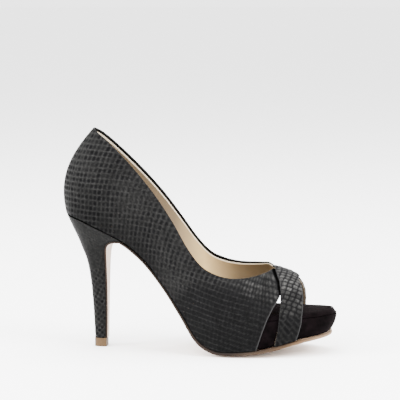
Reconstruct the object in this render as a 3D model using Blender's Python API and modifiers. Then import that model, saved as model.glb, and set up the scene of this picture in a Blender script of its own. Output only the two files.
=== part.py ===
# A right-foot peep toe pump: a platform sole, a slender covered heel and a crossed-over upper.
# Everything is modelled in metres with the toe at +X, the inner side of the foot at +Y and +Z up.
# Modelling starts with x = 0 just behind the heel and the floor at z = 0, and the last step puts
# the middle of the finished shoe's box over the origin.

import math

import bmesh
import bpy
from mathutils import Vector

MM = 0.001

# Driving sizes of the shoe
SHOE_LENGTH = 206 * MM
SEAT_HALF_WIDTH = 24 * MM
BALL_HALF_WIDTH = 38 * MM
HEEL_HEIGHT = 101.2 * MM
BACK_HEIGHT = 65.3 * MM
VAMP_HEIGHT = 56.6 * MM
TOE_SPRING = 14.3 * MM
PLATFORM_HEIGHT = 24 * MM

# Thicknesses and clearances
OUTSOLE_THICKNESS = 2.4 * MM
WAIST_THICKNESS = 1.5 * MM
OUTSOLE_EDGE = 0.6 * MM
OUTSOLE_CHAMFER = 1.1 * MM
SOLE_CROWN = 2.2 * MM
UPPER_WALL = 1.8 * MM
STRAP_STEP = 1.4 * MM
STEP_WIDTH = 0.5 * MM
INSOLE_THICKNESS = 3.7 * MM
INSOLE_ROUNDING = 1.7 * MM
PLATFORM_TUCK = 0.5 * MM
TOE_OVERHANG = 4.7 * MM
CLEARANCE = 0.3 * MM
WALL_EASE = 0.6 * MM
TIP_MARGIN = 0.25 * MM
WINDOW_SLANT = -0.11
CUTTER_REACH = 70 * MM
CUTTER_START = 4 * MM
LIP_CLEARANCE = 2 * MM

# Names of the two sides, as the sign of their Y
OUTER = -1
INNER = 1

# The feather line, where the upper meets heel and sole, from the back of the heel to the toe tip.
# x is a share of SHOE_LENGTH. outer and inner are shares of the half width named in the row.
# rise is a share of the height of the heel over the sole, spring a share of TOE_SPRING,
# and platform a share of PLATFORM_HEIGHT, between outsole and insole.
FEATHER_COLUMNS = ("x", "width", "outer", "inner", "rise", "spring", "platform")
FEATHER = [
    (0.0117, SEAT_HALF_WIDTH, 0.000, 0.000, 1.000, 0.00, 0.00),
    (0.0175, SEAT_HALF_WIDTH, 0.354, 0.354, 0.998, 0.00, 0.00),
    (0.0390, SEAT_HALF_WIDTH, 0.690, 0.690, 0.991, 0.00, 0.00),
    (0.0780, SEAT_HALF_WIDTH, 0.917, 0.908, 0.968, 0.00, 0.00),
    (0.1310, SEAT_HALF_WIDTH, 1.000, 0.990, 0.917, 0.00, 0.00),
    (0.1890, SEAT_HALF_WIDTH, 0.975, 0.942, 0.858, 0.00, 0.00),
    (0.2520, SEAT_HALF_WIDTH, 0.908, 0.833, 0.778, 0.00, 0.00),
    (0.3200, SEAT_HALF_WIDTH, 0.925, 0.767, 0.652, 0.00, 0.04),
    (0.3880, BALL_HALF_WIDTH, 0.645, 0.500, 0.478, 0.00, 0.13),
    (0.4560, BALL_HALF_WIDTH, 0.768, 0.590, 0.275, 0.00, 0.44),
    (0.5150, BALL_HALF_WIDTH, 0.884, 0.737, 0.084, 0.00, 0.90),
    (0.5730, BALL_HALF_WIDTH, 0.963, 0.868, 0.006, 0.00, 1.05),
    (0.6310, BALL_HALF_WIDTH, 1.000, 0.968, -0.004, 0.00, 1.04),
    (0.6840, BALL_HALF_WIDTH, 1.000, 1.016, 0.000, 0.01, 1.02),
    (0.7280, BALL_HALF_WIDTH, 0.979, 1.016, 0.000, 0.08, 0.97),
    (0.7620, BALL_HALF_WIDTH, 0.947, 0.995, 0.000, 0.17, 0.925),
    (0.8010, BALL_HALF_WIDTH, 0.889, 0.947, 0.000, 0.30, 0.86),
    (0.8400, BALL_HALF_WIDTH, 0.816, 0.879, 0.000, 0.44, 0.80),
    (0.8790, BALL_HALF_WIDTH, 0.715, 0.789, 0.000, 0.60, 0.71),
    (0.9130, BALL_HALF_WIDTH, 0.595, 0.684, 0.000, 0.735, 0.64),
    (0.9470, BALL_HALF_WIDTH, 0.434, 0.547, 0.000, 0.867, 0.58),
    (0.9710, BALL_HALF_WIDTH, 0.250, 0.385, 0.000, 0.951, 0.55),
    (0.9805, BALL_HALF_WIDTH, 0.060, 0.215, 0.000, 0.993, 0.535),
    (0.9825, BALL_HALF_WIDTH, -0.080, 0.080, 0.000, 1.000, 0.53),
]

# The top of the wall at the same stations: the topline as far as the throat, then the ridge of
# the vamp. forward and the two rises are shares of the height named in the row, measured from
# the feather line, and outer and inner are shares of the half width named in the row.
TOP_COLUMNS = ("height", "forward", "rise_outer", "rise_inner", "width", "outer", "inner")
TOP = [
    (BACK_HEIGHT, 0.314, 1.000, 1.000, SEAT_HALF_WIDTH, 0.000, 0.000),
    (BACK_HEIGHT, 0.316, 0.988, 0.986, SEAT_HALF_WIDTH, 0.229, 0.229),
    (BACK_HEIGHT, 0.316, 0.952, 0.946, SEAT_HALF_WIDTH, 0.430, 0.430),
    (BACK_HEIGHT, 0.324, 0.884, 0.860, SEAT_HALF_WIDTH, 0.610, 0.610),
    (BACK_HEIGHT, 0.340, 0.790, 0.758, SEAT_HALF_WIDTH, 0.733, 0.733),
    (BACK_HEIGHT, 0.352, 0.672, 0.644, SEAT_HALF_WIDTH, 0.842, 0.817),
    (BACK_HEIGHT, 0.348, 0.556, 0.534, SEAT_HALF_WIDTH, 0.958, 0.917),
    (BACK_HEIGHT, 0.322, 0.476, 0.462, SEAT_HALF_WIDTH, 1.092, 1.025),
    (BACK_HEIGHT, 0.276, 0.462, 0.475, SEAT_HALF_WIDTH, 1.217, 1.158),
    (VAMP_HEIGHT, 0.256, 0.665, 0.700, BALL_HALF_WIDTH, 0.826, 0.789),
    (VAMP_HEIGHT, 0.228, 0.890, 0.945, BALL_HALF_WIDTH, 0.842, 0.826),
    (VAMP_HEIGHT, 0.194, 0.978, 1.045, BALL_HALF_WIDTH, 0.816, 0.805),
    (VAMP_HEIGHT, 0.152, 0.990, 1.060, BALL_HALF_WIDTH, 0.730, 0.700),
    (VAMP_HEIGHT, 0.116, 0.996, 1.056, BALL_HALF_WIDTH, 0.550, 0.520),
    (VAMP_HEIGHT, 0.078, 1.005, 1.048, BALL_HALF_WIDTH, 0.300, 0.280),
    (VAMP_HEIGHT, 0.037, 1.008, 1.008, BALL_HALF_WIDTH, 0.000, 0.000),
    (VAMP_HEIGHT, 0.007, 0.965, 0.965, BALL_HALF_WIDTH, 0.000, 0.000),
    (VAMP_HEIGHT, -0.028, 0.894, 0.894, BALL_HALF_WIDTH, 0.000, 0.000),
    (VAMP_HEIGHT, -0.062, 0.797, 0.797, BALL_HALF_WIDTH, 0.000, 0.000),
    (VAMP_HEIGHT, -0.088, 0.707, 0.707, BALL_HALF_WIDTH, 0.000, 0.000),
    (VAMP_HEIGHT, -0.124, 0.590, 0.590, BALL_HALF_WIDTH, 0.000, 0.000),
    (VAMP_HEIGHT, -0.141, 0.480, 0.480, BALL_HALF_WIDTH, 0.000, 0.000),
    (VAMP_HEIGHT, -0.145, 0.400, 0.400, BALL_HALF_WIDTH, 0.000, 0.000),
    (VAMP_HEIGHT, -0.145, 0.370, 0.370, BALL_HALF_WIDTH, 0.000, 0.000),
]

# How the wall curves between feather line and top, at a few stations. The angles are degrees:
# flares outwards from upright at the foot of the wall, tuck inwards at its top, and leans towards
# the toe. The pulls are shares of the straight distance, and say how long each end keeps its way.
WALL_COLUMNS = (
    "station", "flare_outer", "flare_inner", "tuck", "foot_lean", "top_lean", "foot_pull", "top_pull"
)
WALL = [
    (0, 17, 17, 41, 0, 0, 0.42, 0.38),
    (2, 15, 15, 36, 5, 12, 0.41, 0.36),
    (4, 11, 12, 22, 14, 28, 0.36, 0.34),
    (6, 15, 21, 10, 27, 37, 0.36, 0.34),
    (8, 20, 32, 6, 24, 36, 0.36, 0.34),
    (10, 12, 17, 28, 8, 20, 0.38, 0.34),
    (12, 6, 7, 55, 5, 8, 0.44, 0.33),
    (14, 4, 4, 82, 3, 2, 0.48, 0.31),
    (15, 4, 4, 90, 2, 0, 0.48, 0.31),
    (18, 6, 6, 90, 0, 0, 0.46, 0.32),
    (20, 10, 10, 80, 0, 0, 0.42, 0.33),
    (23, 14, 14, 70, 0, 0, 0.40, 0.33),
]

# Where the edges of the crossing bands run, as stations, at shares of the way up the wall.
# throat lines end at the throat, peep lines at the top of the toe opening.
BAND_COLUMNS = ("up", "outer_throat", "outer_peep", "inner_throat", "inner_peep")
BANDS = [
    (0.00, 15.7, 17.7, 12.2, 13.7),
    (0.25, 16.1, 18.1, 12.8, 14.3),
    (0.50, 16.4, 18.5, 13.5, 15.0),
    (0.70, 16.2, 18.6, 14.1, 15.8),
    (0.85, 15.8, 18.5, 14.6, 16.9),
    (1.00, 15.0, 18.1, 15.0, 18.1),
]
THROAT_STATION = 15
LAST_COLUMN_STATION = 19.6

# Side view of a window between the bands, from below its back edge up to the point and down its
# front edge, and of the front edge of the bands at the toe opening from top to bottom.
# x is a share of SHOE_LENGTH, rise a share of VAMP_HEIGHT above the feather line without the crown.
WINDOW = [
    (0.723, -0.09),
    (0.730, 0.074),
    (0.748, 0.251),
    (0.770, 0.419),
    (0.793, 0.578),
    (0.8045, 0.668),
    (0.808, 0.705),
    (0.8105, 0.660),
    (0.8120, 0.574),
    (0.8115, 0.470),
    (0.8068, 0.341),
    (0.800, 0.212),
    (0.788, 0.051),
    (0.779, -0.09),
]
TOE_OPENING = [
    (0.855, 1.100),
    (0.8665, 0.813),
    (0.8885, 0.670),
    (0.896, 0.555),
    (0.896, 0.431),
    (0.8885, 0.231),
    (0.878, 0.129),
    (0.866, 0.027),
    (0.857, -0.09),
]

# The heel from its foot to the seat. Back and front are where the section starts and ends in the
# side view: x as shares of SHOE_LENGTH, z as shares of HEEL_HEIGHT. half is a share of
# SEAT_HALF_WIDTH, and sag says how much of the seat's own hollow the section has taken on.
HEEL_COLUMNS = ("back_x", "back_z", "front_x", "front_z", "half", "sag")
HEEL = [
    (0.1117, 0.0662, 0.1524, 0.0662, 0.188, 0.00),
    (0.1090, 0.198, 0.1534, 0.198, 0.204, 0.00),
    (0.1052, 0.326, 0.1544, 0.326, 0.233, 0.00),
    (0.1000, 0.455, 0.1549, 0.455, 0.287, 0.00),
    (0.0932, 0.563, 0.1549, 0.563, 0.358, 0.00),
    (0.0828, 0.662, 0.1549, 0.658, 0.458, 0.05),
    (0.0665, 0.751, 0.1568, 0.731, 0.583, 0.15),
    (0.0515, 0.830, 0.1631, 0.777, 0.717, 0.30),
    (0.0355, 0.899, 0.1772, 0.806, 0.833, 0.50),
    (0.0232, 0.954, 0.1966, 0.8195, 0.920, 0.75),
    (0.0135, 0.996, 0.2230, 0.823, 0.985, 1.00),
]

STATIONS = len(FEATHER) - 1
COLUMNS_TO_THROAT = 28
COLUMNS_TO_PEEP = 6
COLUMNS_TO_END = 8
WALL_ROWS = 12
PLATE_STATIONS = 48
PLATE_NODES = 4
SEAT_NODES = 17
HEEL_LEVELS = 17
BREAST_LEVELS = 15
PLATFORM_START = 8.3
INSOLE_REST_SHARE = 0.55

# Where things begin and end: the first two as shares of SHOE_LENGTH, the others in stations
CROWN_BEGINS = (0.43, 0.56)
CROWN_ENDS = (0.85, 0.98)
OPEN_TOE = (18.6, 20.2)
OVERHANG_FROM = 18.8
SIDES_BEGIN = (5, 12)
SIDES_END = 19
STRAP_RISES = (11.5, 14)

# Shares: the sole's sloping margin, the level of its edge, the platform's part of the overhang
# in the middle and at its top, how far up the wall the strap lifts off, and the tip's foot
CROWN_MARGIN = 0.45
EDGE_LEVEL = 0.55
PLATFORM_LEANS = (0.45, 0.9)
STRAP_LIFTS = (0.42, 0.72)
TIP_FOOT = 0.96


def smooth_step(low, high, value):
    """0 below low, 1 above high and an even S between."""
    share = min(1.0, max(0.0, (value - low) / (high - low)))
    return share * share * (3 - 2 * share)


def blend(a, b, share):
    return a + (b - a) * share


def table_value(rows, key, column):
    """A column of a short table at a key, by straight lines between its rows."""
    for low, high in zip(rows, rows[1:]):
        if key <= high[0]:
            return blend(low[column], high[column], (key - low[0]) / (high[0] - low[0]))
    return rows[-1][column]


def through(values, place):
    """The value at a place, counted in values, on a smooth curve through evenly spaced values.
    The first and last values only steer the ends."""
    index = min(int(place), len(values) - 4)
    share = place - index
    before, start, end, after = values[index : index + 4]
    return 0.5 * (
        2 * start
        + (end - before) * share
        + (2 * before - 5 * start + 4 * end - after) * share**2
        + (3 * start - before - 3 * end + after) * share**3
    )


def sole_crown(x):
    """How far the feather line is lifted over a sole that is flat in the middle and rises to its
    edges, at a share of the shoe's length."""
    return SOLE_CROWN * smooth_step(*CROWN_BEGINS, x) * (1 - smooth_step(*CROWN_ENDS, x))


def station_rows(side):
    """Foot and top of one side's wall and the platform's height there, in metres, for every station."""
    rows = []
    for foot, top in zip(FEATHER, TOP):
        x, foot_width, outer, inner, rise, spring, platform = foot
        height, forward, rise_outer, rise_inner, top_width, top_outer, top_inner = top
        foot_x = x * SHOE_LENGTH
        crown = sole_crown(x)
        flat_z = OUTSOLE_THICKNESS + rise * (HEEL_HEIGHT - OUTSOLE_THICKNESS) + spring * TOE_SPRING
        foot_y = side * foot_width * (outer if side == OUTER else inner)
        top_y = side * top_width * (top_outer if side == OUTER else top_inner)
        top_z = flat_z + height * (rise_outer if side == OUTER else rise_inner)
        plates = platform * PLATFORM_HEIGHT - crown
        rows.append((foot_x, foot_y, flat_z + crown, foot_x + forward * height, top_y, top_z, plates))
    return rows


ROWS = {side: station_rows(side) for side in (OUTER, INNER)}
# One more row at each end, taken from the other side, keeps the curves smooth round heel and toe.
GUIDED = {side: [ROWS[-side][1], *ROWS[side], ROWS[-side][-2]] for side in (OUTER, INNER)}


def station(side, place):
    """Foot x, y, z, top x, y, z and platform height at a place counted in stations. The top may not
    cross the shoe's middle, and from the throat on both sides share the height of the ridge."""
    row = [through([row[column] for row in GUIDED[side]], place) for column in range(7)]
    row[4] = side * max(0.0, side * row[4])
    if place > THROAT_STATION:
        row[5] = (row[5] + through([row[5] for row in GUIDED[-side]], place)) / 2
    return row


def outward(side, place):
    """The level direction straight out of the shoe at a station."""
    step = 0.02
    low, high = max(0.0, place - step), min(STATIONS, place + step)
    start, end = station(side, low), station(side, high)
    if place < step:
        return Vector((-1, 0, 0))
    if place > STATIONS - step:
        return Vector((1, 0, 0))
    along = Vector((end[0] - start[0], end[1] - start[1], 0)).normalized()
    return Vector((-side * along.y, side * along.x, 0))


def wall_guides(side, place):
    """The four control points of the wall's curve at a station."""
    foot_x, foot_y, foot_z, top_x, top_y, top_z, _ = station(side, place)
    foot, top = Vector((foot_x, foot_y, foot_z)), Vector((top_x, top_y, top_z))
    flare, tuck, foot_lean, top_lean = (
        math.radians(table_value(WALL, place, column)) for column in (1 if side == OUTER else 2, 3, 4, 5)
    )
    out = outward(side, place)
    across = smooth_step(*SIDES_BEGIN, place) * (1 - smooth_step(SIDES_END, STATIONS, place))
    inward = (-out).lerp(Vector((0, -side, 0)), across).normalized()
    rise = Vector((math.sin(foot_lean), 0, math.cos(foot_lean)))
    finish = Vector((math.sin(top_lean), 0, math.cos(top_lean)))
    start_way = rise * math.cos(flare) + out * math.sin(flare)
    end_way = finish * math.cos(tuck) + inward * math.sin(tuck)
    reach = (top - foot).length
    return (
        foot,
        foot + start_way * reach * table_value(WALL, place, 6),
        top - end_way * reach * table_value(WALL, place, 7),
        top,
    )


def on_guides(guides, up):
    """The point at a share of the way along a curve with four control points."""
    a, b, c, d = guides
    left = 1 - up
    return a * left**3 + b * 3 * left**2 * up + c * 3 * left * up**2 + d * up**3


def wall_at_height(side, place, height):
    """The wall's outer face at a station and a height over the floor."""
    guides = wall_guides(side, place)
    low, high = 0.0, 0.7
    for _ in range(18):
        middle = (low + high) / 2
        if on_guides(guides, middle).z < height:
            low = middle
        else:
            high = middle
    return on_guides(guides, low)


def side_line(extra):
    """Side view of a level of the sole as (x, z) points: the feather line raised by extra(row)."""
    points = []
    for index in range(STATIONS * 4 + 1):
        row = station(OUTER, index / 4)
        points.append((row[0], row[2] + extra(row)))
    return points


def raised_line(line, distance):
    """A side-view line moved square to itself, upwards for a positive distance."""
    moved = []
    for index, (x, z) in enumerate(line):
        before, after = line[max(0, index - 1)], line[min(len(line) - 1, index + 1)]
        along = Vector((after[0] - before[0], after[1] - before[1])).normalized()
        moved.append((x - along.y * distance, z + along.x * distance))
    return moved


def line_height(line, x):
    """z of a side-view line at x, and its end values past its ends."""
    if x <= line[0][0]:
        return line[0][1]
    for low, high in zip(line, line[1:]):
        if x <= high[0]:
            return blend(low[1], high[1], (x - low[0]) / max(1e-9, high[0] - low[0]))
    return line[-1][1]


def shelf_edge(side, place, line, inset):
    """Where a level that follows a side-view line meets the wall's outer face, moved in by inset."""
    foot_x = station(side, place)[0]
    out = outward(side, place)
    point = Vector((foot_x, 0, 0))
    for _ in range(4):
        point = wall_at_height(side, place, line_height(line, point.x))
    point = point - out * inset
    return Vector((point.x, point.y, line_height(line, point.x)))


def wall_inset(side, place):
    """Distance from the wall's outer face to a plate inside it. Beyond the bands nothing covers it."""
    covered = 1 - smooth_step(*OPEN_TOE, place)
    flare = math.radians(table_value(WALL, place, 1 if side == OUTER else 2))
    return (UPPER_WALL / math.cos(flare) + WALL_EASE) * covered


def shelf_edges(place, line, inset):
    """Where a level meets both sides of the wall, moved in by an inset inside the wall."""
    return [shelf_edge(side, place, line, wall_inset(side, place) + inset) for side in (OUTER, INNER)]


def toe_overhang(place):
    """How far the plates lean out over the sole at the toe."""
    return TOE_OVERHANG * smooth_step(OVERHANG_FROM, STATIONS, place)


def new_object(name, mesh, material, collection):
    mesh.materials.append(material)
    made = bpy.data.objects.new(name, mesh)
    collection.objects.link(made)
    return made


def finish_mesh(work, name, sharp_degrees=40):
    """Turns a bmesh into a closed, smooth-shaded mesh with its faces pointing out."""
    bmesh.ops.remove_doubles(work, verts=work.verts, dist=1e-6)
    bmesh.ops.dissolve_degenerate(work, edges=work.edges, dist=1e-7)
    bmesh.ops.recalc_face_normals(work, faces=work.faces)
    mesh = bpy.data.meshes.new(name)
    work.to_mesh(mesh)
    work.free()
    mesh.shade_smooth()
    mesh.set_sharp_from_angle(angle=math.radians(sharp_degrees))
    return mesh


def loft(loops, cap_start, cap_end):
    """Skins a row of closed loops with the same number of points, and closes the ends that are asked for
    with strips between opposite points."""
    work = bmesh.new()
    rings = [[work.verts.new(point) for point in loop] for loop in loops]
    count = len(rings[0])
    for near, far in zip(rings, rings[1:]):
        for index in range(count):
            after = (index + 1) % count
            work.faces.new((near[index], near[after], far[after], far[index]))
    for ring in [rings[0]] * cap_start + [rings[-1]] * cap_end:
        for index in range((count - 1) // 2):
            corners = (ring[index], ring[index + 1], ring[count - 2 - index], ring[count - 1 - index])
            work.faces.new(dict.fromkeys(corners))
    return work


def plate_loop(edges, nodes):
    """A section of a plate, given its pairs of outer and inner edge points from the bottom up.
    It runs up the outer edge, over the top, down the inner edge and back underneath, and starts
    in the middle of the underside so that opposite points pair up for a cap."""
    bottom, top = edges[0], edges[-1]
    under = [bottom[0].lerp(bottom[1], index / nodes) for index in range(1, nodes)]
    over = [top[0].lerp(top[1], index / nodes) for index in range(1, nodes)]
    outer_side = [edge[0] for edge in edges]
    inner_side = [edge[1] for edge in reversed(edges)]
    middle = nodes // 2
    return under[:middle][::-1] + outer_side + over + inner_side + under[middle:][::-1]


def make_insole(material, collection):
    """A footbed wrapped in suede: it lies on heel, sole and platform inside the upper's wall,
    and at the toe it comes out to the platform's own edge."""
    under = side_line(lambda row: row[6] + CLEARANCE)
    middle = raised_line(under, INSOLE_THICKNESS * INSOLE_REST_SHARE)
    top = raised_line(under, INSOLE_THICKNESS)
    levels = [(under, 0.5 * INSOLE_ROUNDING), (middle, 0.0), (top, INSOLE_ROUNDING)]
    loops = []
    for index in range(PLATE_STATIONS + 1):
        place = STATIONS * index / PLATE_STATIONS
        edges = []
        for line, inset in levels:
            inset -= toe_overhang(place)
            edges.append(shelf_edges(place, line, inset))
        loops.append(plate_loop(edges, PLATE_NODES))
    return new_object("insole", finish_mesh(loft(loops, False, False), "insole"), material, collection)


def make_platform(material, collection):
    """The suede-covered platform between outsole and insole, which thins out under the arch."""
    under = side_line(lambda row: CLEARANCE)
    top = side_line(lambda row: row[6] - CLEARANCE)
    waist = side_line(lambda row: 0.5 * row[6])
    levels = [(under, PLATFORM_TUCK, 0.0), (waist, 0.0, PLATFORM_LEANS[0]), (top, 0.0, PLATFORM_LEANS[1])]
    loops = []
    for index in range(PLATE_STATIONS + 1):
        place = blend(PLATFORM_START, STATIONS, index / PLATE_STATIONS)
        edges = []
        for line, inset, lean in levels:
            inset -= toe_overhang(place) * lean
            edges.append(shelf_edges(place, line, inset))
        loops.append(plate_loop(edges, PLATE_NODES))
    return new_object("platform", finish_mesh(loft(loops, True, False), "platform"), material, collection)


def seat_outline():
    """The outline of the heel seat from its outer front corner round the back to its inner front
    corner, as shares: 0 to 1 from back to front, and -1 to 1 across."""
    back = FEATHER[0][0]
    front = HEEL[-1][2]
    last = next(place for place in range(STATIONS) if FEATHER[place + 1][0] > front)
    reach = last + (front - FEATHER[last][0]) / (FEATHER[last + 1][0] - FEATHER[last][0])
    halves = {}
    for side in (OUTER, INNER):
        halves[side] = []
        for index in range(SEAT_NODES):
            row = station(side, reach * index / (SEAT_NODES - 1))
            along = (row[0] / SHOE_LENGTH - back) / (front - back)
            halves[side].append((along, row[1] / SEAT_HALF_WIDTH))
    return halves[OUTER][::-1] + halves[INNER][1:]


def heel_loop(row, outline, seat_line):
    """One section of the heel. It is the seat's outline drawn in to the row's length and width."""
    back_x, back_z, front_x, front_z, half, sag = row
    seat_back, seat_front = HEEL[-1][0] * SHOE_LENGTH, HEEL[-1][2] * SHOE_LENGTH
    ends = line_height(seat_line, seat_back), line_height(seat_line, seat_front)
    loop = []
    for along, across in outline:
        x = blend(back_x, front_x, along) * SHOE_LENGTH
        z = blend(back_z, front_z, along) * HEEL_HEIGHT
        hollow = line_height(seat_line, blend(seat_back, seat_front, along)) - blend(*ends, along)
        loop.append(Vector((x, across * half * SEAT_HALF_WIDTH, z + sag * hollow - CLEARANCE * sag)))
    return loop


def close_front(loop, nodes=3):
    """Adds points along the straight front of a heel section, so that its loop closes evenly."""
    front = [loop[-1].lerp(loop[0], index / (nodes + 1)) for index in range(1, nodes + 1)]
    middle = nodes // 2
    return front[middle:] + loop + front[:middle]


def heel_rows(count):
    """The heel's table read at more levels along smooth curves."""
    guided = [HEEL[0], *HEEL, HEEL[-1]]
    rows = []
    for index in range(count):
        place = (len(HEEL) - 1) * index / (count - 1)
        rows.append([through([row[column] for row in guided], place) for column in range(len(HEEL_COLUMNS))])
    return rows


def make_heel(material, collection):
    """The covered heel block, from its small foot to the seat under the upper."""
    outline = seat_outline()
    seat_line = side_line(lambda row: 0.0)
    loops = [close_front(heel_loop(row, outline, seat_line), 4) for row in heel_rows(HEEL_LEVELS)]
    return new_object("heel", finish_mesh(loft(loops, True, True), "heel"), material, collection)


def make_top_piece(material, collection):
    """The hard lift under the heel. It also carries the back half of the outsole's flap."""
    outline = seat_outline()
    back_x, back_z, front_x, _, half, _ = HEEL[0]
    top = back_z * HEEL_HEIGHT - CLEARANCE
    back = back_x * SHOE_LENGTH - TIP_MARGIN
    front = front_x * SHOE_LENGTH + CLEARANCE + WAIST_THICKNESS / 2
    reach = half * SEAT_HALF_WIDTH + TIP_MARGIN
    loops = []
    for z, shrink in ((0.0, TIP_FOOT), (TIP_MARGIN * 2, 1.0), (top, 1.0)):
        middle = (back + front) / 2
        points = []
        for along, across in outline:
            x = middle + (blend(back, front, along) - middle) * shrink
            points.append(Vector((x, across * reach * shrink, z)))
        loops.append(close_front(points, 4))
    return new_object("top_piece", finish_mesh(loft(loops, True, True), "top_piece"), material, collection)


def outsole_path():
    """The upper face of the outsole in side view, from the foot of the heel's breast up to its
    top, under the waist and out to the toe, with the half widths on both sides of the shoe.
    Each entry is x, z, outer half, inner half."""
    outline = seat_outline()
    corner = abs(outline[0][1]), abs(outline[-1][1])
    path = []
    for back_x, back_z, front_x, front_z, half, sag in heel_rows(BREAST_LEVELS):
        width = half * SEAT_HALF_WIDTH
        z = front_z * HEEL_HEIGHT - CLEARANCE * sag
        path.append((front_x * SHOE_LENGTH, z, corner[0] * width, corner[1] * width))
    clear_x = path[-1][0] + LIP_CLEARANCE
    first = next(place for place in range(STATIONS) if FEATHER[place][0] * SHOE_LENGTH > clear_x)
    count = (STATIONS - first) * 2
    for index in range(count + 1):
        place = blend(first, STATIONS, index / count)
        outer, inner = station(OUTER, place), station(INNER, place)
        edge = OUTSOLE_EDGE * smooth_step(0.0, 0.1, abs(outer[1] - inner[1]) / BALL_HALF_WIDTH)
        path.append((outer[0], outer[2] - CLEARANCE * 0.5, edge - outer[1], edge + inner[1]))
    return path


def make_outsole(material, collection):
    """The leather sole: one sheet from the toe under the waist and down the front of the heel. Under
    the forefoot it is thickest in the middle, which is flat, and rises to its edges."""
    path = outsole_path()
    line = raised_line([(x, z) for x, z, _, _ in path], -CLEARANCE)
    ball_x = FEATHER[11][0] * SHOE_LENGTH
    waist_x = FEATHER[8][0] * SHOE_LENGTH
    loops = []
    for (x, z), (lower_x, lower_z), (_, _, outer, inner) in zip(line, raised_line(line, -1.0), path):
        thickness = blend(WAIST_THICKNESS, OUTSOLE_THICKNESS, smooth_step(waist_x, ball_x, x))
        down = Vector((lower_x - x, 0, lower_z - z)).normalized()
        middle = (outer + inner) / 2
        chamfer = min(OUTSOLE_CHAMFER, CROWN_MARGIN * middle)
        crown = sole_crown(x / SHOE_LENGTH)
        flat = (1.0, crown, max(CROWN_MARGIN * middle, chamfer))
        edges = []
        for depth, drop, tuck in (flat, (1.0, 0.0, chamfer), (EDGE_LEVEL, 0.0, 0.0), (0.0, 0.0, 0.0)):
            centre = Vector((x, 0, z - drop)) + down * thickness * depth
            centre.z = max(centre.z, 0.0)
            widths = (OUTER, outer), (INNER, inner)
            edges.append([centre + Vector((0, side * (half - tuck), 0)) for side, half in widths])
        loops.append(plate_loop(edges, PLATE_NODES))
    mesh = finish_mesh(loft(loops, True, True), "outsole")
    return new_object("outsole", mesh, material, collection)


def band_place(side, column, up):
    """The station of a grid column at a share of the way up the wall. The columns follow the
    edges of the bands, with two columns STEP_WIDTH apart at each edge for the step between them."""
    throat = table_value(BANDS, up, 1 if side == OUTER else 3)
    peep = table_value(BANDS, up, 2 if side == OUTER else 4)
    station_length = SHOE_LENGTH / STATIONS
    step = STEP_WIDTH / station_length
    if column <= COLUMNS_TO_THROAT:
        return throat * column / COLUMNS_TO_THROAT
    column -= COLUMNS_TO_THROAT + 1
    if column <= COLUMNS_TO_PEEP:
        return blend(throat + step, peep, column / COLUMNS_TO_PEEP)
    column -= COLUMNS_TO_PEEP + 1
    return blend(peep + step, max(peep + 2 * step, LAST_COLUMN_STATION), column / COLUMNS_TO_END)


def strap_lift(side, column, up, place):
    """How far the band that crosses on top stands out of the wall. It comes from the inner
    quarter, passes over the crossing and runs down the outer side of the toe."""
    height = smooth_step(*STRAP_LIFTS, up)
    if side == OUTER:
        on_band = column > COLUMNS_TO_THROAT
        return STRAP_STEP * height * on_band
    on_band = column <= COLUMNS_TO_THROAT + COLUMNS_TO_PEEP + 1
    return STRAP_STEP * height * on_band * smooth_step(*STRAP_RISES, place)


def upper_sheet():
    """The upper's outer face as an open sheet, round both sides of the foot and over the vamp.
    Returns it with the lift of every point."""
    columns = COLUMNS_TO_THROAT + COLUMNS_TO_PEEP + COLUMNS_TO_END + 3
    work = bmesh.new()
    lift_layer = work.verts.layers.float.new("lift")
    for side in (OUTER, INNER):
        grid = []
        for column in range(columns):
            points = []
            for row in range(WALL_ROWS + 1):
                up = row / WALL_ROWS
                place = band_place(side, column, up)
                vertex = work.verts.new(on_guides(wall_guides(side, place), up))
                vertex[lift_layer] = strap_lift(side, column, up, place)
                points.append(vertex)
            grid.append(points)
        for near, far in zip(grid, grid[1:]):
            for row in range(WALL_ROWS):
                corners = (near[row], far[row], far[row + 1], near[row + 1])
                work.faces.new(corners if side == OUTER else corners[::-1])
    return work, lift_layer


def merge_keeping_lift(work, lift_layer):
    """Joins the two sides along the back and the ridge. A joined point keeps the larger lift."""
    targets = bmesh.ops.find_doubles(work, verts=work.verts, dist=1e-6)["targetmap"]
    for gone, kept in targets.items():
        kept[lift_layer] = max(kept[lift_layer], gone[lift_layer])
    bmesh.ops.weld_verts(work, targetmap=targets)


def applied_mesh(made, name):
    """The mesh that an object's modifiers give."""
    evaluated = made.evaluated_get(bpy.context.evaluated_depsgraph_get())
    return bpy.data.meshes.new_from_object(evaluated, depsgraph=bpy.context.evaluated_depsgraph_get())


def prism(name, outline, stations, collection):
    """A cutter: an outline of (x, z) points skinned between levels of (y, shift in x)."""
    loops = [[Vector((x + shift, y, z)) for x, z in outline] for y, shift in stations]
    work = bmesh.new()
    rings = [[work.verts.new(point) for point in loop] for loop in loops]
    count = len(outline)
    for near, far in zip(rings, rings[1:]):
        for index in range(count):
            after = (index + 1) % count
            work.faces.new((near[index], near[after], far[after], far[index]))
    work.faces.new(rings[0])
    work.faces.new(rings[-1])
    made = bpy.data.objects.new(name, finish_mesh(work, name))
    made.hide_render = True
    made.display_type = "WIRE"
    collection.objects.link(made)
    return made


def side_outline(rows):
    """Points of a side-view outline in metres, from its shares."""
    seat_line = side_line(lambda row: 0.0)
    points = []
    for x, rise in rows:
        foot_z = line_height(seat_line, x * SHOE_LENGTH) - sole_crown(x)
        points.append((x * SHOE_LENGTH, foot_z + rise * VAMP_HEIGHT))
    return points


def smooth_outline(points, steps=4):
    """An open outline with more points, along a smooth curve through the given ones."""
    guided = [points[0], *points, points[-1]]
    smooth = []
    for index in range((len(points) - 1) * steps + 1):
        place = index / steps
        smooth.append(tuple(through([point[axis] for point in guided], place) for axis in (0, 1)))
    return smooth


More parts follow.
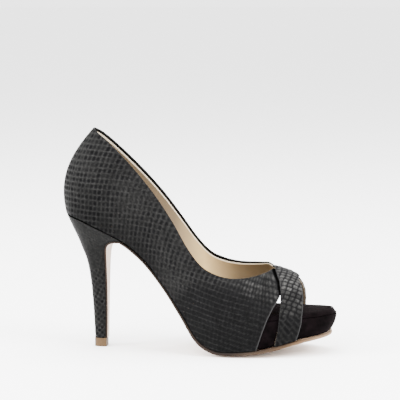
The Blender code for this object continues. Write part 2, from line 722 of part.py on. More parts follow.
def upper_cutters(collection):
    """Cutters for the two windows between the bands and for the toe opening."""
    tip = next(index for index, row in enumerate(WINDOW) if row[1] == max(row[1] for row in WINDOW))
    window = side_outline(WINDOW)
    window = smooth_outline(window[: tip + 1]) + smooth_outline(window[tip:])[1:]
    front = smooth_outline(side_outline(TOE_OPENING))
    beyond = SHOE_LENGTH + CUTTER_REACH
    toe = [*front, (beyond, front[-1][1]), (beyond, front[0][1])]
    slant = WINDOW_SLANT * CUTTER_REACH
    inner_path = [(CUTTER_START, CUTTER_START * WINDOW_SLANT), (CUTTER_REACH, slant)]
    return [
        prism("outer_window_cutter", window, [(-CUTTER_REACH, 0), (-CUTTER_START, 0)], collection),
        prism("inner_window_cutter", window, inner_path, collection),
        prism("toe_cutter", toe, [(-CUTTER_REACH, 0), (0, 0), (CUTTER_REACH, slant)], collection),
    ]


def make_upper(material, collection, cutter_collection):
    """The leather upper: heel, quarters and the two bands that cross over the toes, as one wall.
    The band on top is a step in the wall's outer face."""
    sheet, lift_layer = upper_sheet()
    merge_keeping_lift(sheet, lift_layer)
    sheet.verts.ensure_lookup_table()
    lifts = [vertex[lift_layer] for vertex in sheet.verts]
    mesh = bpy.data.meshes.new("upper_sheet")
    sheet.to_mesh(mesh)
    sheet.free()
    shell = bpy.data.objects.new("upper_shell", mesh)
    collection.objects.link(shell)
    wall = shell.modifiers.new("wall", "SOLIDIFY")
    wall.thickness = UPPER_WALL
    wall.offset = -1
    wall.use_even_offset = True
    wall.thickness_clamp = 1.0
    solid = applied_mesh(shell, "upper_solid")
    bpy.data.objects.remove(shell)
    normals = [vertex.normal.copy() for vertex in mesh.vertices]
    for vertex, normal, lift in zip(solid.vertices, normals, lifts):
        vertex.co += normal * lift
    made = new_object("upper", solid, material, collection)
    for cutter in upper_cutters(cutter_collection):
        cut = made.modifiers.new(cutter.name, "BOOLEAN")
        cut.operation = "DIFFERENCE"
        cut.object = cutter
        cut.solver = "EXACT"
    return made


def new_material(name, colour, roughness, metallic=0.0):
    material = bpy.data.materials.new(name)
    material.use_nodes = True
    shader = material.node_tree.nodes["Principled BSDF"]
    shader.inputs["Base Color"].default_value = (*colour, 1)
    shader.inputs["Roughness"].default_value = roughness
    shader.inputs["Metallic"].default_value = metallic
    material.diffuse_color = (*colour, 1)
    return material


def new_collection(name):
    collection = bpy.data.collections.new(name)
    bpy.context.scene.collection.children.link(collection)
    return collection


def stand_over_origin(collections):
    """Moves everything so that the middle of the shoe's box stands over the origin."""
    graph = bpy.context.evaluated_depsgraph_get()
    corners = []
    for made in collections[0].objects:
        shown = made.evaluated_get(graph).to_mesh()
        corners.extend(vertex.co.copy() for vertex in shown.vertices)
    middle = [(min(c[axis] for c in corners) + max(c[axis] for c in corners)) / 2 for axis in (0, 1)]
    move = Vector((-middle[0], -middle[1], -min(corner.z for corner in corners)))
    for collection in collections:
        for made in collection.objects:
            made.location = move


def main():
    for made in list(bpy.data.objects):
        bpy.data.objects.remove(made)
    shoe = new_collection("peep_toe_pump")
    cutters = new_collection("cutters")
    scale_leather = new_material("black_scale_leather", (0.035, 0.036, 0.038), 0.45)
    suede = new_material("black_suede", (0.012, 0.010, 0.011), 0.95)
    sole_leather = new_material("tan_sole_leather", (0.62, 0.42, 0.28), 0.5)
    tip_rubber = new_material("tan_tip_rubber", (0.50, 0.36, 0.20), 0.6)
    make_outsole(sole_leather, shoe)
    make_platform(suede, shoe)
    make_insole(suede, shoe)
    make_heel(scale_leather, shoe)
    make_top_piece(tip_rubber, shoe)
    make_upper(scale_leather, shoe, cutters)
    stand_over_origin([shoe, cutters])


main()
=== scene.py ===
# %% [markdown]
# # A peep toe pump, dressed for the camera
# The shoe is a right pump of black scale-embossed leather on a suede platform, with a tan sole and a
# covered heel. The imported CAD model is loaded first. It fixes every size and place, and the finer
# pieces made below stand in for its plain solids. All lengths are in metres.

# %% Load the frame
import math

import bpy
import numpy as np
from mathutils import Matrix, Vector, kdtree


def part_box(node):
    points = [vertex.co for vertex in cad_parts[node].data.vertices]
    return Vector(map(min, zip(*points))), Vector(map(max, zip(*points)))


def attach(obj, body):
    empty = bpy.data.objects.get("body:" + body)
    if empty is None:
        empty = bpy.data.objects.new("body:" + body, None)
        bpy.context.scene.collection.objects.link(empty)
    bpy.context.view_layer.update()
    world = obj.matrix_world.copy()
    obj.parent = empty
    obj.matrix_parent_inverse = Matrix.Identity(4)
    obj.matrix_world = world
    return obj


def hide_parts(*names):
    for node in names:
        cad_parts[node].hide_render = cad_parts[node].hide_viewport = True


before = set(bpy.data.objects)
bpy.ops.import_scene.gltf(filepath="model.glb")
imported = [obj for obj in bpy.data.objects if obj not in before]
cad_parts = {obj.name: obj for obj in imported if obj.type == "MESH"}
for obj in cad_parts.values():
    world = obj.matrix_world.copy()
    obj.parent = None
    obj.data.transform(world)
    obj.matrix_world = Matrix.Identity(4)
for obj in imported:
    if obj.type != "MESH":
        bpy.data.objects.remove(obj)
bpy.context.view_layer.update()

MM = 0.001
OUTER = -1
INNER = 1

# %% [markdown]
# A shoe's upper is pulled over a last, and the last decides its shape. Here the last is a short
# table of stations from the back of the heel to the toe tip. Each station says where the wall
# starts at the sole (the feather line) and where it ends (the topline, then the ridge of the
# vamp). The lengths are shares of the named sizes, as in the CAD source.

# %% Sizes of the shoe
SHOE_LENGTH = 206 * MM
SEAT_HALF_WIDTH = 24 * MM
BALL_HALF_WIDTH = 38 * MM
HEEL_HEIGHT = 101.2 * MM
BACK_HEIGHT = 65.3 * MM
VAMP_HEIGHT = 56.6 * MM
TOE_SPRING = 14.3 * MM
PLATFORM_HEIGHT = 24 * MM
OUTSOLE_THICKNESS = 2.4 * MM
WAIST_THICKNESS = 1.5 * MM
SOLE_CROWN = 2.2 * MM
STRAP_STEP = 1.4 * MM
CLEARANCE = 0.3 * MM
INSOLE_THICKNESS = 3.7 * MM
TOE_OVERHANG = 4.7 * MM
CROWN_BEGINS = (0.43, 0.56)
CROWN_ENDS = (0.85, 0.98)
SIDES_BEGIN = (5, 12)
SIDES_END = 19

# %% Stations along the last: the feather line
# The feather line, where the upper meets heel and sole, from the back of the heel to the toe tip.
# x is a share of SHOE_LENGTH. outer and inner are shares of the half width named in the row.
# rise is a share of the height of the heel over the sole, spring a share of TOE_SPRING,
# and platform a share of PLATFORM_HEIGHT, between outsole and insole.
# Columns: x, width, outer, inner, rise, spring, platform.
FEATHER = [
    (0.0117, SEAT_HALF_WIDTH, 0.000, 0.000, 1.000, 0.00, 0.00),
    (0.0175, SEAT_HALF_WIDTH, 0.354, 0.354, 0.998, 0.00, 0.00),
    (0.0390, SEAT_HALF_WIDTH, 0.690, 0.690, 0.991, 0.00, 0.00),
    (0.0780, SEAT_HALF_WIDTH, 0.917, 0.908, 0.968, 0.00, 0.00),
    (0.1310, SEAT_HALF_WIDTH, 1.000, 0.990, 0.917, 0.00, 0.00),
    (0.1890, SEAT_HALF_WIDTH, 0.975, 0.942, 0.858, 0.00, 0.00),
    (0.2520, SEAT_HALF_WIDTH, 0.908, 0.833, 0.778, 0.00, 0.00),
    (0.3200, SEAT_HALF_WIDTH, 0.925, 0.767, 0.652, 0.00, 0.04),
    (0.3880, BALL_HALF_WIDTH, 0.645, 0.500, 0.478, 0.00, 0.13),
    (0.4560, BALL_HALF_WIDTH, 0.768, 0.590, 0.275, 0.00, 0.44),
    (0.5150, BALL_HALF_WIDTH, 0.884, 0.737, 0.084, 0.00, 0.90),
    (0.5730, BALL_HALF_WIDTH, 0.963, 0.868, 0.006, 0.00, 1.05),
    (0.6310, BALL_HALF_WIDTH, 1.000, 0.968, -0.004, 0.00, 1.04),
    (0.6840, BALL_HALF_WIDTH, 1.000, 1.016, 0.000, 0.01, 1.02),
    (0.7280, BALL_HALF_WIDTH, 0.979, 1.016, 0.000, 0.08, 0.97),
    (0.7620, BALL_HALF_WIDTH, 0.947, 0.995, 0.000, 0.17, 0.925),
    (0.8010, BALL_HALF_WIDTH, 0.889, 0.947, 0.000, 0.30, 0.86),
    (0.8400, BALL_HALF_WIDTH, 0.816, 0.879, 0.000, 0.44, 0.80),
    (0.8790, BALL_HALF_WIDTH, 0.715, 0.789, 0.000, 0.60, 0.71),
    (0.9130, BALL_HALF_WIDTH, 0.595, 0.684, 0.000, 0.735, 0.64),
    (0.9470, BALL_HALF_WIDTH, 0.434, 0.547, 0.000, 0.867, 0.58),
    (0.9710, BALL_HALF_WIDTH, 0.250, 0.385, 0.000, 0.951, 0.55),
    (0.9805, BALL_HALF_WIDTH, 0.060, 0.215, 0.000, 0.993, 0.535),
    (0.9825, BALL_HALF_WIDTH, -0.080, 0.080, 0.000, 1.000, 0.53),
]

# %% Stations along the last: the top of the wall
# The top of the wall at the same stations: the topline as far as the throat, then the ridge of
# the vamp. forward and the two rises are shares of the height named in the row, measured from
# the feather line, and outer and inner are shares of the half width named in the row.
# Columns: height, forward, rise_outer, rise_inner, width, outer, inner.
TOP = [
    (BACK_HEIGHT, 0.314, 1.000, 1.000, SEAT_HALF_WIDTH, 0.000, 0.000),
    (BACK_HEIGHT, 0.316, 0.988, 0.986, SEAT_HALF_WIDTH, 0.229, 0.229),
    (BACK_HEIGHT, 0.316, 0.952, 0.946, SEAT_HALF_WIDTH, 0.430, 0.430),
    (BACK_HEIGHT, 0.324, 0.884, 0.860, SEAT_HALF_WIDTH, 0.610, 0.610),
    (BACK_HEIGHT, 0.340, 0.790, 0.758, SEAT_HALF_WIDTH, 0.733, 0.733),
    (BACK_HEIGHT, 0.352, 0.672, 0.644, SEAT_HALF_WIDTH, 0.842, 0.817),
    (BACK_HEIGHT, 0.348, 0.556, 0.534, SEAT_HALF_WIDTH, 0.958, 0.917),
    (BACK_HEIGHT, 0.322, 0.476, 0.462, SEAT_HALF_WIDTH, 1.092, 1.025),
    (BACK_HEIGHT, 0.276, 0.462, 0.475, SEAT_HALF_WIDTH, 1.217, 1.158),
    (VAMP_HEIGHT, 0.256, 0.665, 0.700, BALL_HALF_WIDTH, 0.826, 0.789),
    (VAMP_HEIGHT, 0.228, 0.890, 0.945, BALL_HALF_WIDTH, 0.842, 0.826),
    (VAMP_HEIGHT, 0.194, 0.978, 1.045, BALL_HALF_WIDTH, 0.816, 0.805),
    (VAMP_HEIGHT, 0.152, 0.990, 1.060, BALL_HALF_WIDTH, 0.730, 0.700),
    (VAMP_HEIGHT, 0.116, 0.996, 1.056, BALL_HALF_WIDTH, 0.550, 0.520),
    (VAMP_HEIGHT, 0.078, 1.005, 1.048, BALL_HALF_WIDTH, 0.300, 0.280),
    (VAMP_HEIGHT, 0.037, 1.008, 1.008, BALL_HALF_WIDTH, 0.000, 0.000),
    (VAMP_HEIGHT, 0.007, 0.965, 0.965, BALL_HALF_WIDTH, 0.000, 0.000),
    (VAMP_HEIGHT, -0.028, 0.894, 0.894, BALL_HALF_WIDTH, 0.000, 0.000),
    (VAMP_HEIGHT, -0.062, 0.797, 0.797, BALL_HALF_WIDTH, 0.000, 0.000),
    (VAMP_HEIGHT, -0.088, 0.707, 0.707, BALL_HALF_WIDTH, 0.000, 0.000),
    (VAMP_HEIGHT, -0.124, 0.590, 0.590, BALL_HALF_WIDTH, 0.000, 0.000),
    (VAMP_HEIGHT, -0.141, 0.480, 0.480, BALL_HALF_WIDTH, 0.000, 0.000),
    (VAMP_HEIGHT, -0.145, 0.400, 0.400, BALL_HALF_WIDTH, 0.000, 0.000),
    (VAMP_HEIGHT, -0.145, 0.370, 0.370, BALL_HALF_WIDTH, 0.000, 0.000),
]

# %% How the wall bulges between feather line and top
# How the wall curves between feather line and top, at a few stations. The angles are degrees:
# flares outwards from upright at the foot of the wall, tuck inwards at its top, and leans towards
# the toe. The pulls are shares of the straight distance, and say how long each end keeps its way.
# Columns: station, flare_outer, flare_inner, tuck, foot_lean, top_lean, foot_pull, top_pull.
WALL = [
    (0, 17, 17, 41, 0, 0, 0.42, 0.38),
    (2, 15, 15, 36, 5, 12, 0.41, 0.36),
    (4, 11, 12, 22, 14, 28, 0.36, 0.34),
    (6, 15, 21, 10, 27, 37, 0.36, 0.34),
    (8, 20, 32, 6, 24, 36, 0.36, 0.34),
    (10, 12, 17, 28, 8, 20, 0.38, 0.34),
    (12, 6, 7, 55, 5, 8, 0.44, 0.33),
    (14, 4, 4, 82, 3, 2, 0.48, 0.31),
    (15, 4, 4, 90, 2, 0, 0.48, 0.31),
    (18, 6, 6, 90, 0, 0, 0.46, 0.32),
    (20, 10, 10, 80, 0, 0, 0.42, 0.33),
    (23, 14, 14, 70, 0, 0, 0.40, 0.33),
]

# %% [markdown]
# The stations are joined by smooth curves, and at each place the wall itself is a curve with four
# control points, as a designer would draw it with a pen tool. To stay fast, the control points are
# worked out once at many places, and numpy then reads the wall at any place and height.

# %% Read the tables smoothly
STATIONS = len(FEATHER) - 1
THROAT_STATION = 15


def ease(low, high, value):
    """0 below low, 1 above high and an even S between, for single values and arrays."""
    t = np.clip((value - low) / (high - low), 0, 1)
    return t * t * (3 - 2 * t)


def blend(a, b, share):
    return a + (b - a) * share


def table_value(rows, key, column):
    """A column of a short table at a key, by straight lines between its rows."""
    for low, high in zip(rows, rows[1:]):
        if key <= high[0]:
            return blend(low[column], high[column], (key - low[0]) / (high[0] - low[0]))
    return rows[-1][column]


def through(values, place):
    """The value at a place, counted in values, on a smooth curve through evenly spaced values.
    The first and last values only steer the ends."""
    index = min(int(place), len(values) - 4)
    share = place - index
    before, start, end, after = values[index : index + 4]
    return 0.5 * (
        2 * start
        + (end - before) * share
        + (2 * before - 5 * start + 4 * end - after) * share**2
        + (3 * start - before - 3 * end + after) * share**3
    )

# %% Stations on both sides of the shoe
def sole_crown(x):
    """How far the feather line is lifted over a sole that is flat in the middle and rises to its
    edges, at a share of the shoe's length."""
    return SOLE_CROWN * ease(*CROWN_BEGINS, x) * (1 - ease(*CROWN_ENDS, x))


def station_rows(side):
    """Foot and top of one side's wall and the platform's height there, in metres, for every station."""
    rows = []
    for foot, top in zip(FEATHER, TOP):
        x, foot_width, outer, inner, rise, spring, platform = foot
        height, forward, rise_outer, rise_inner, top_width, top_outer, top_inner = top
        foot_x = x * SHOE_LENGTH
        crown = sole_crown(x)
        flat_z = OUTSOLE_THICKNESS + rise * (HEEL_HEIGHT - OUTSOLE_THICKNESS) + spring * TOE_SPRING
        foot_y = side * foot_width * (outer if side == OUTER else inner)
        top_y = side * top_width * (top_outer if side == OUTER else top_inner)
        top_z = flat_z + height * (rise_outer if side == OUTER else rise_inner)
        plates = platform * PLATFORM_HEIGHT - crown
        rows.append((foot_x, foot_y, flat_z + crown, foot_x + forward * height, top_y, top_z, plates))
    return rows


ROWS = {side: station_rows(side) for side in (OUTER, INNER)}
# One more row at each end, taken from the other side, keeps the curves smooth round heel and toe.
GUIDED = {side: [ROWS[-side][1], *ROWS[side], ROWS[-side][-2]] for side in (OUTER, INNER)}


def station(side, place):
    """Foot x, y, z, top x, y, z and platform height at a place counted in stations. The top may not
    cross the shoe's middle, and from the throat on both sides share the height of the ridge."""
    row = [through([row[column] for row in GUIDED[side]], place) for column in range(7)]
    row[4] = side * max(0.0, side * row[4])
    if place > THROAT_STATION:
        row[5] = (row[5] + through([row[5] for row in GUIDED[-side]], place)) / 2
    return row

# %% The wall's curve at a station
def outward(side, place):
    """The level direction straight out of the shoe at a station."""
    step = 0.02
    low, high = max(0.0, place - step), min(STATIONS, place + step)
    start, end = station(side, low), station(side, high)
    if place < step:
        return Vector((-1, 0, 0))
    if place > STATIONS - step:
        return Vector((1, 0, 0))
    along = Vector((end[0] - start[0], end[1] - start[1], 0)).normalized()
    return Vector((-side * along.y, side * along.x, 0))


def wall_guides(side, place):
    """The four control points of the wall's curve at a station."""
    foot_x, foot_y, foot_z, top_x, top_y, top_z, _ = station(side, place)
    foot, top = Vector((foot_x, foot_y, foot_z)), Vector((top_x, top_y, top_z))
    flare, tuck, foot_lean, top_lean = (
        math.radians(table_value(WALL, place, column)) for column in (1 if side == OUTER else 2, 3, 4, 5)
    )
    out = outward(side, place)
    across = ease(*SIDES_BEGIN, place) * (1 - ease(SIDES_END, STATIONS, place))
    inward = (-out).lerp(Vector((0, -side, 0)), across).normalized()
    rise = Vector((math.sin(foot_lean), 0, math.cos(foot_lean)))
    finish = Vector((math.sin(top_lean), 0, math.cos(top_lean)))
    start_way = rise * math.cos(flare) + out * math.sin(flare)
    end_way = finish * math.cos(tuck) + inward * math.sin(tuck)
    reach = (top - foot).length
    return (
        foot,
        foot + start_way * reach * table_value(WALL, place, 6),
        top - end_way * reach * table_value(WALL, place, 7),
        top,
    )

# %% The wall as a surface
STEPS_A_STATION = 24
HEEL_TIP_X = 22.76 * MM
NORMAL_STEPS = (0.05, 0.01)
PLACES = np.linspace(0, STATIONS, STATIONS * STEPS_A_STATION + 1)
GUIDES = {side: np.array([wall_guides(side, place) for place in PLACES]) for side in (OUTER, INNER)}
tip_low, tip_high = (np.array(corner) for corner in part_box("top_piece"))
# The stations start at the back of the shoe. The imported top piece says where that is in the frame.
SHIFT = np.array((tip_low[0] - HEEL_TIP_X, (tip_low[1] + tip_high[1]) / 2, 0.0))


def wall(side, place, up):
    """Points of the lasted wall for arrays of places and shares of the way up."""
    place, up = np.broadcast_arrays(np.asarray(place, float), np.asarray(up, float))
    index = np.clip(place, 0, STATIONS) / PLACES[1]
    low = np.minimum(index.astype(int), len(PLACES) - 2)
    share = (index - low)[..., None, None]
    guides = GUIDES[side][low] * (1 - share) + GUIDES[side][low + 1] * share
    up = up[..., None]
    left = 1 - up
    return (guides[..., 0, :] * left**3 + guides[..., 1, :] * 3 * left**2 * up
            + guides[..., 2, :] * 3 * left * up**2 + guides[..., 3, :] * up**3)


def wall_normal(side, place, up):
    """Directions straight out of the wall."""
    place, up = np.broadcast_arrays(np.asarray(place, float), np.asarray(up, float))
    step, lift_step = NORMAL_STEPS
    before, after = np.maximum(place - step, 0), np.minimum(place + step, STATIONS)
    below, above = np.maximum(up - lift_step, 0), np.minimum(up + lift_step, 1)
    along = wall(side, after, up) - wall(side, before, up)
    rise = wall(side, place, above) - wall(side, place, below)
    normal = np.cross(along, rise) * -side
    return normal / np.maximum(np.linalg.norm(normal, axis=-1, keepdims=True), 1e-12)


print("wall at the heel seam, mm:", np.round(wall(OUTER, 0.0, 0.5) / MM, 1))

# %% [markdown]
# The upper is two pieces of leather, one for each side of the foot. Each is a quarter that runs on
# into a band. At the throat the bands cross: the inner quarter's band passes over and comes down
# the outer side of the toe, the other passes under it. Each edge is drawn in side view, as a
# pattern cutter would draw it, and then found on the wall. The two sides differ by a slant,
# because the pattern sits a little further back on the inner side.

# %% Edges of the bands in side view
# Each row is a height above the floor and the edge's x there, in millimetres.
# Each edge is looked for between two stations.
QUARTER_FRONT = np.array([(0, 148.6), (8, 151.1), (18.6, 154.6), (29, 158.4), (37, 162.2), (41, 164.6),
                          (45.4, 166.7)])
STRAP_REAR = np.array([(0, 160.9), (9.1, 163.5), (18.8, 165.6), (26.4, 166.4), (34.1, 166.9), (40, 167.2),
                       (47.3, 166.8), (54.4, 165.2), (59.6, 162.2), (63.5, 159.1)])
STRAP_FRONT = np.array([(0, 175.6), (5, 177.0), (11.8, 179.0), (18.3, 181.0), (24.6, 182.6), (36.4, 183.4),
                        (43.4, 183.0), (49.4, 181.3), (56.4, 177.4), (60, 175)])
QUARTER_SPAN = (11.5, 19)
STRAP_REAR_SPAN = (12.5, 19)
STRAP_FRONT_SPAN = (14.5, 20.5)
SIDE_SLANT = -0.11
FRONT_SLANT = -0.065
APEX_HEIGHT = 45.4
PEEP_STATION = 18.1
SLOPE_STEP = 0.08

# %% Find the edges on the wall
def edge_stations(side, ups, outline, span, slant=SIDE_SLANT):
    """For each share up, the station where the wall crosses an edge that is drawn in side view."""
    places = np.linspace(*span, 400)
    found = []
    for up in ups:
        points = wall(side, places, up) / MM
        edge = np.interp(points[:, 2], outline[:, 0], outline[:, 1]) + slant * np.maximum(points[:, 1], 0)
        beyond = points[:, 0] - edge
        index = max(1, int(np.argmax(beyond > 0)))
        before, after = beyond[index - 1], beyond[index]
        share = -before / (after - before) if after > before else 0.0
        found.append(places[index - 1] + (places[1] - places[0]) * min(1.0, max(0.0, share)))
    return np.array(found)


def eased_end(ups, stations, start, end_station):
    """Turns the line of stations above a share start smoothly to its end station at the ridge."""
    at_start = np.interp(start, ups, stations)
    slope = (at_start - np.interp(start - SLOPE_STEP, ups, stations)) / SLOPE_STEP
    t = np.clip((ups - start) / (1 - start), 0, 1)
    reach = 1 - start
    line = (at_start * (2 * t**3 - 3 * t**2 + 1) + slope * reach * (t**3 - 2 * t**2 + t)
            + end_station * (3 * t**2 - 2 * t**3) + 0.8 * (t**3 - t**2))
    return np.where(ups > start, line, stations)

# %% [markdown]
# The leather is embossed like a small-scaled skin. A real emboss is pressed a few tenths of a
# millimetre deep, deep enough to show at the edge of the shoe, so it is real relief here and not
# only a bump in the material. On the quarters it is a net of fine ridges round dark pits, and low
# down only the level ridges stay. Over the toes the knots of the net swell into pale beads, and the
# strap has rows of beads above and slanting slots below. Every point keeps how high it lies, the
# tone of its scale, with painted shade low down and painted highlight over the vamp and strap, how
# near it is to a folded edge that catches the light, for a painted highlight, and where a shadow is
# painted, and the leather's material reads that.

# %% Pits, ridges and beads
COLUMN_PITCH = 3.2 * MM
ROW_PITCH = 4.0 * MM
COLUMN_LEAN = 0.08
BEAD_WIDTH = 4.4 * MM
BEAD_HEIGHT = 3.7 * MM
SLOT_PITCH = 3.4 * MM
RELIEF = 0.5 * MM
# Where one pattern gives way to the next: along the shoe, up from the floor and from a line that
# follows the foot, all in millimetres.
BACK_ZONE = (52, 12)
VAMP_ZONE = (128, 142)
STRAP_LOW_ZONE = (36, 26)
LOW_ZONE = (5, -8)


def cell_noise(i, j, seed=0.0):
    """One steady random number from 0 to 1 for each cell."""
    value = np.sin(i * 12.9898 + j * 78.233 + seed) * 43758.5453
    return value - np.floor(value)


def from_middle(a):
    """0 in the middle of a cell and 1 at its border."""
    return np.abs(2 * (a - np.floor(a)) - 1)


def cushions(a, b, power, seed):
    """A rounded cushion on every unit square: its height from 0 to 1 and its tone."""
    tone = cell_noise(np.floor(a), np.floor(b), seed)
    dome = (1 - from_middle(a) ** power) * (1 - from_middle(b) ** power)
    return dome * (0.6 + 0.4 * tone), tone

# %% The pattern at each point of the leather
def scales(points, along, from_ridge, strap):
    """Height from 0 to 1, tone and strength of the scales at points of the wall."""
    x, z = points[..., 0] / MM, points[..., 2] / MM
    wander = 0.07 * np.sin(x / 7.3 + z / 11) + 0.06 * np.sin(z / 4.9 - x / 17)
    drop = 0.07 * x + 0.24 * 14 * np.logaddexp(0, (x - 80) / 14)
    row = (z + drop) * MM / ROW_PITCH + wander
    back = ease(*BACK_ZONE, x)
    column = along / COLUMN_PITCH + 0.1 * np.sin(z / 9)
    column = column + (0.12 + 0.2 * back) * cell_noise(np.floor(row), 0.0)
    beside, above = from_middle(column), from_middle(row)
    pit_tone = cell_noise(np.floor(column), np.floor(row), 1.0)
    patches = 0.8 + 0.2 * np.sin(x / 9.7 + z / 23) * np.sin(z / 12.1 - x / 31)
    pits = (1 - beside ** (1.3 + 1.7 * back)) * (1 - above ** (4 - 2.2 * back)) * (0.45 + 0.55 * pit_tone)
    # Near the back the net is paler and has more contrast: partly deeper relief, partly a painted highlight
    # where light grazes the back of the counter.
    net = 0.68 + 0.07 * back - (0.75 + 0.3 * back) * pits * patches
    ridges = 0.26 + 0.3 * above**6 + 0.16 * beside**6
    knot_tone = cell_noise(np.round(column), np.round(row), 2.0)
    beads = 0.22 + 0.78 * (beside * above) ** 0.7 * (0.6 + 0.5 * knot_tone)
    bead_row = (from_ridge + 0.35 * points[..., 0]) / BEAD_HEIGHT + 0.15 * np.sin(x / 6.1)
    bead_column = (x - 0.34 * z) * MM / BEAD_WIDTH + 0.2 * cell_noise(np.floor(bead_row), 3.0)
    rows_of_beads, bead_tone = cushions(bead_column, bead_row, 3.0, 6.0)
    rows_of_beads = 0.12 + 0.88 * rows_of_beads
    slant = (0.766 * x + 0.643 * z) * MM / SLOT_PITCH + 0.2 * np.sin(z / 5)
    fall = (0.643 * x - 0.766 * z) * MM / (2.2 * SLOT_PITCH) + 0.4 * np.floor(slant)
    slot_tone = cell_noise(np.floor(fall), np.floor(slant), 7.0)
    slot = (1 - from_middle(slant) ** 1.3) * (1 - from_middle(fall) ** 6) * (0.4 + 0.6 * slot_tone)
    lines_top = 54 + 0.05 * (x - 110) - 0.9 * np.maximum(0, 100 - x)
    low = ease(*LOW_ZONE, z - lines_top)
    vamp = ease(*VAMP_ZONE, x) * ease(-3, 6, z - 52 + 0.45 * (x - VAMP_ZONE[0]))
    strap_low = ease(*STRAP_LOW_ZONE, z)
    layers = [(net, pit_tone, 0.8 + 0.6 * back, (1 - low) * (1 - vamp) * (1 - strap)),
              (ridges, pit_tone, 0.4, low * (1 - vamp) * (1 - strap)),
              (beads, knot_tone, 0.9, vamp * (1 - strap)),
              (rows_of_beads, bead_tone, 1.1, strap * (1 - strap_low)),
              (0.52 - 0.52 * slot, slot_tone, 0.7, strap * strap_low)]
    height = sum(layer[0] * layer[3] for layer in layers)
    strength = sum(layer[2] * layer[3] for layer in layers)
    tone = sum(layer[1] * layer[3] for layer in layers)
    return np.clip(height, 0, 1), tone, strength

# %% [markdown]
# Each band starts as a flat grid primitive. Its points are then wrapped round the last, as the
# leather is. Rows and columns crowd together at the edges, so that the folded edge can be round.
# The quarter and its strap are made apart and welded along the ridge.

# %% Spread rows and columns
EDGE_STEPS = np.array((0.0, 0.12, 0.32, 0.62)) * MM


def spread(count, length, at_start=True, at_end=True):
    """Shares from 0 to 1 with a few close steps at the ends that have a folded edge."""
    start = EDGE_STEPS / length if at_start else np.array((0.0,))
    end = 1 - EDGE_STEPS[::-1] / length if at_end else np.array((1.0,))
    middle = np.linspace(start[-1], end[0], count)[1:-1]
    return np.concatenate((start, middle, end))


def place_grid(ups, columns):
    """Stations and shares up for a grid whose rows have their own columns."""
    return np.array(columns), np.repeat(ups[:, None], len(columns[0]), axis=1)

# %% Helpers that read and write a mesh
WELD = 0.01 * MM
SMOOTH_ANGLE = 50


def read(items, name, width=1, kind=np.float32):
    """One property of all items of a mesh, as a flat array."""
    values = np.zeros(len(items) * width, dtype=kind)
    items.foreach_get(name, values)
    return values


def write(items, name, values):
    """Sets one property of all items of a mesh from an array of any shape."""
    items.foreach_set(name, np.ascontiguousarray(values, dtype=np.float32).ravel())


def only(*pieces):
    """Selects these pieces alone and makes the first one active."""
    bpy.ops.object.select_all(action="DESELECT")
    for piece in pieces:
        piece.select_set(True)
    bpy.context.view_layer.objects.active = pieces[0]


def smoothed(angle=SMOOTH_ANGLE):
    """Smooth shading with creases past an angle in degrees, on the selected piece."""
    bpy.ops.object.shade_smooth_by_angle(angle=math.radians(angle))

# %% Wrap a grid primitive round the last
def wrapped_grid(name, points, flip, uv=None, push=None, looks=None):
    """Adds a grid primitive and lays its points on the given ones."""
    rows, columns = points.shape[:2]
    bpy.ops.object.select_all(action="DESELECT")
    bpy.ops.mesh.primitive_grid_add(x_subdivisions=columns - 1, y_subdivisions=rows - 1, size=1,
                                    location=(0, 0, 0))
    piece = bpy.context.object
    piece.name = name
    mesh = piece.data
    write(mesh.vertices, "co", points + SHIFT)
    if uv is not None:
        corners = read(mesh.loops, "vertex_index", kind=np.int32)
        write(mesh.uv_layers[0].data, "uv", uv.reshape(-1, 2)[corners])
    if push is not None:
        write(mesh.attributes.new("push", "FLOAT_VECTOR", "POINT").data, "vector", push)
    if looks is not None:
        write(mesh.attributes.new("relief", "FLOAT_COLOR", "POINT").data, "color", looks)
    if flip:
        mesh.flip_normals()
    mesh.update()
    return piece


def joined(pieces):
    """Joins pieces into the first one and welds the points where they meet."""
    only(*pieces)
    if len(pieces) > 1:
        bpy.ops.object.join()
    bpy.ops.object.mode_set(mode="EDIT")
    bpy.ops.mesh.select_all(action="SELECT")
    bpy.ops.mesh.remove_doubles(threshold=WELD)
    bpy.ops.object.mode_set(mode="OBJECT")
    return pieces[0]


def thickened(piece, thickness):
    """Gives a sheet its thickness inwards, then raises the scales on its outer face."""
    outer_points = len(piece.data.vertices) * 3
    bpy.ops.object.modifier_add(type="SOLIDIFY")
    modifier = piece.modifiers[-1]
    modifier.thickness = thickness
    modifier.offset = -1
    bpy.ops.object.modifier_apply(modifier=modifier.name)
    mesh = piece.data
    if "push" in mesh.attributes:
        places = read(mesh.vertices, "co", 3)
        places[:outer_points] += read(mesh.attributes["push"].data, "vector", 3)[:outer_points]
        write(mesh.vertices, "co", places)
        mesh.attributes.remove(mesh.attributes["push"])
    mesh.update()
    smoothed()

# %% Lay out one band
THROAT_LINE = 11.2
QUARTER_LENGTH, QUARTER_HEIGHT = 170 * MM, 75 * MM
STRAP_LENGTH, STRAP_WIDTH = 80 * MM, 18 * MM
QUARTER_ROWS = 118
QUARTER_COLUMNS = 270
CROSSING_COLUMNS = 34
STRAP_ROWS = 132


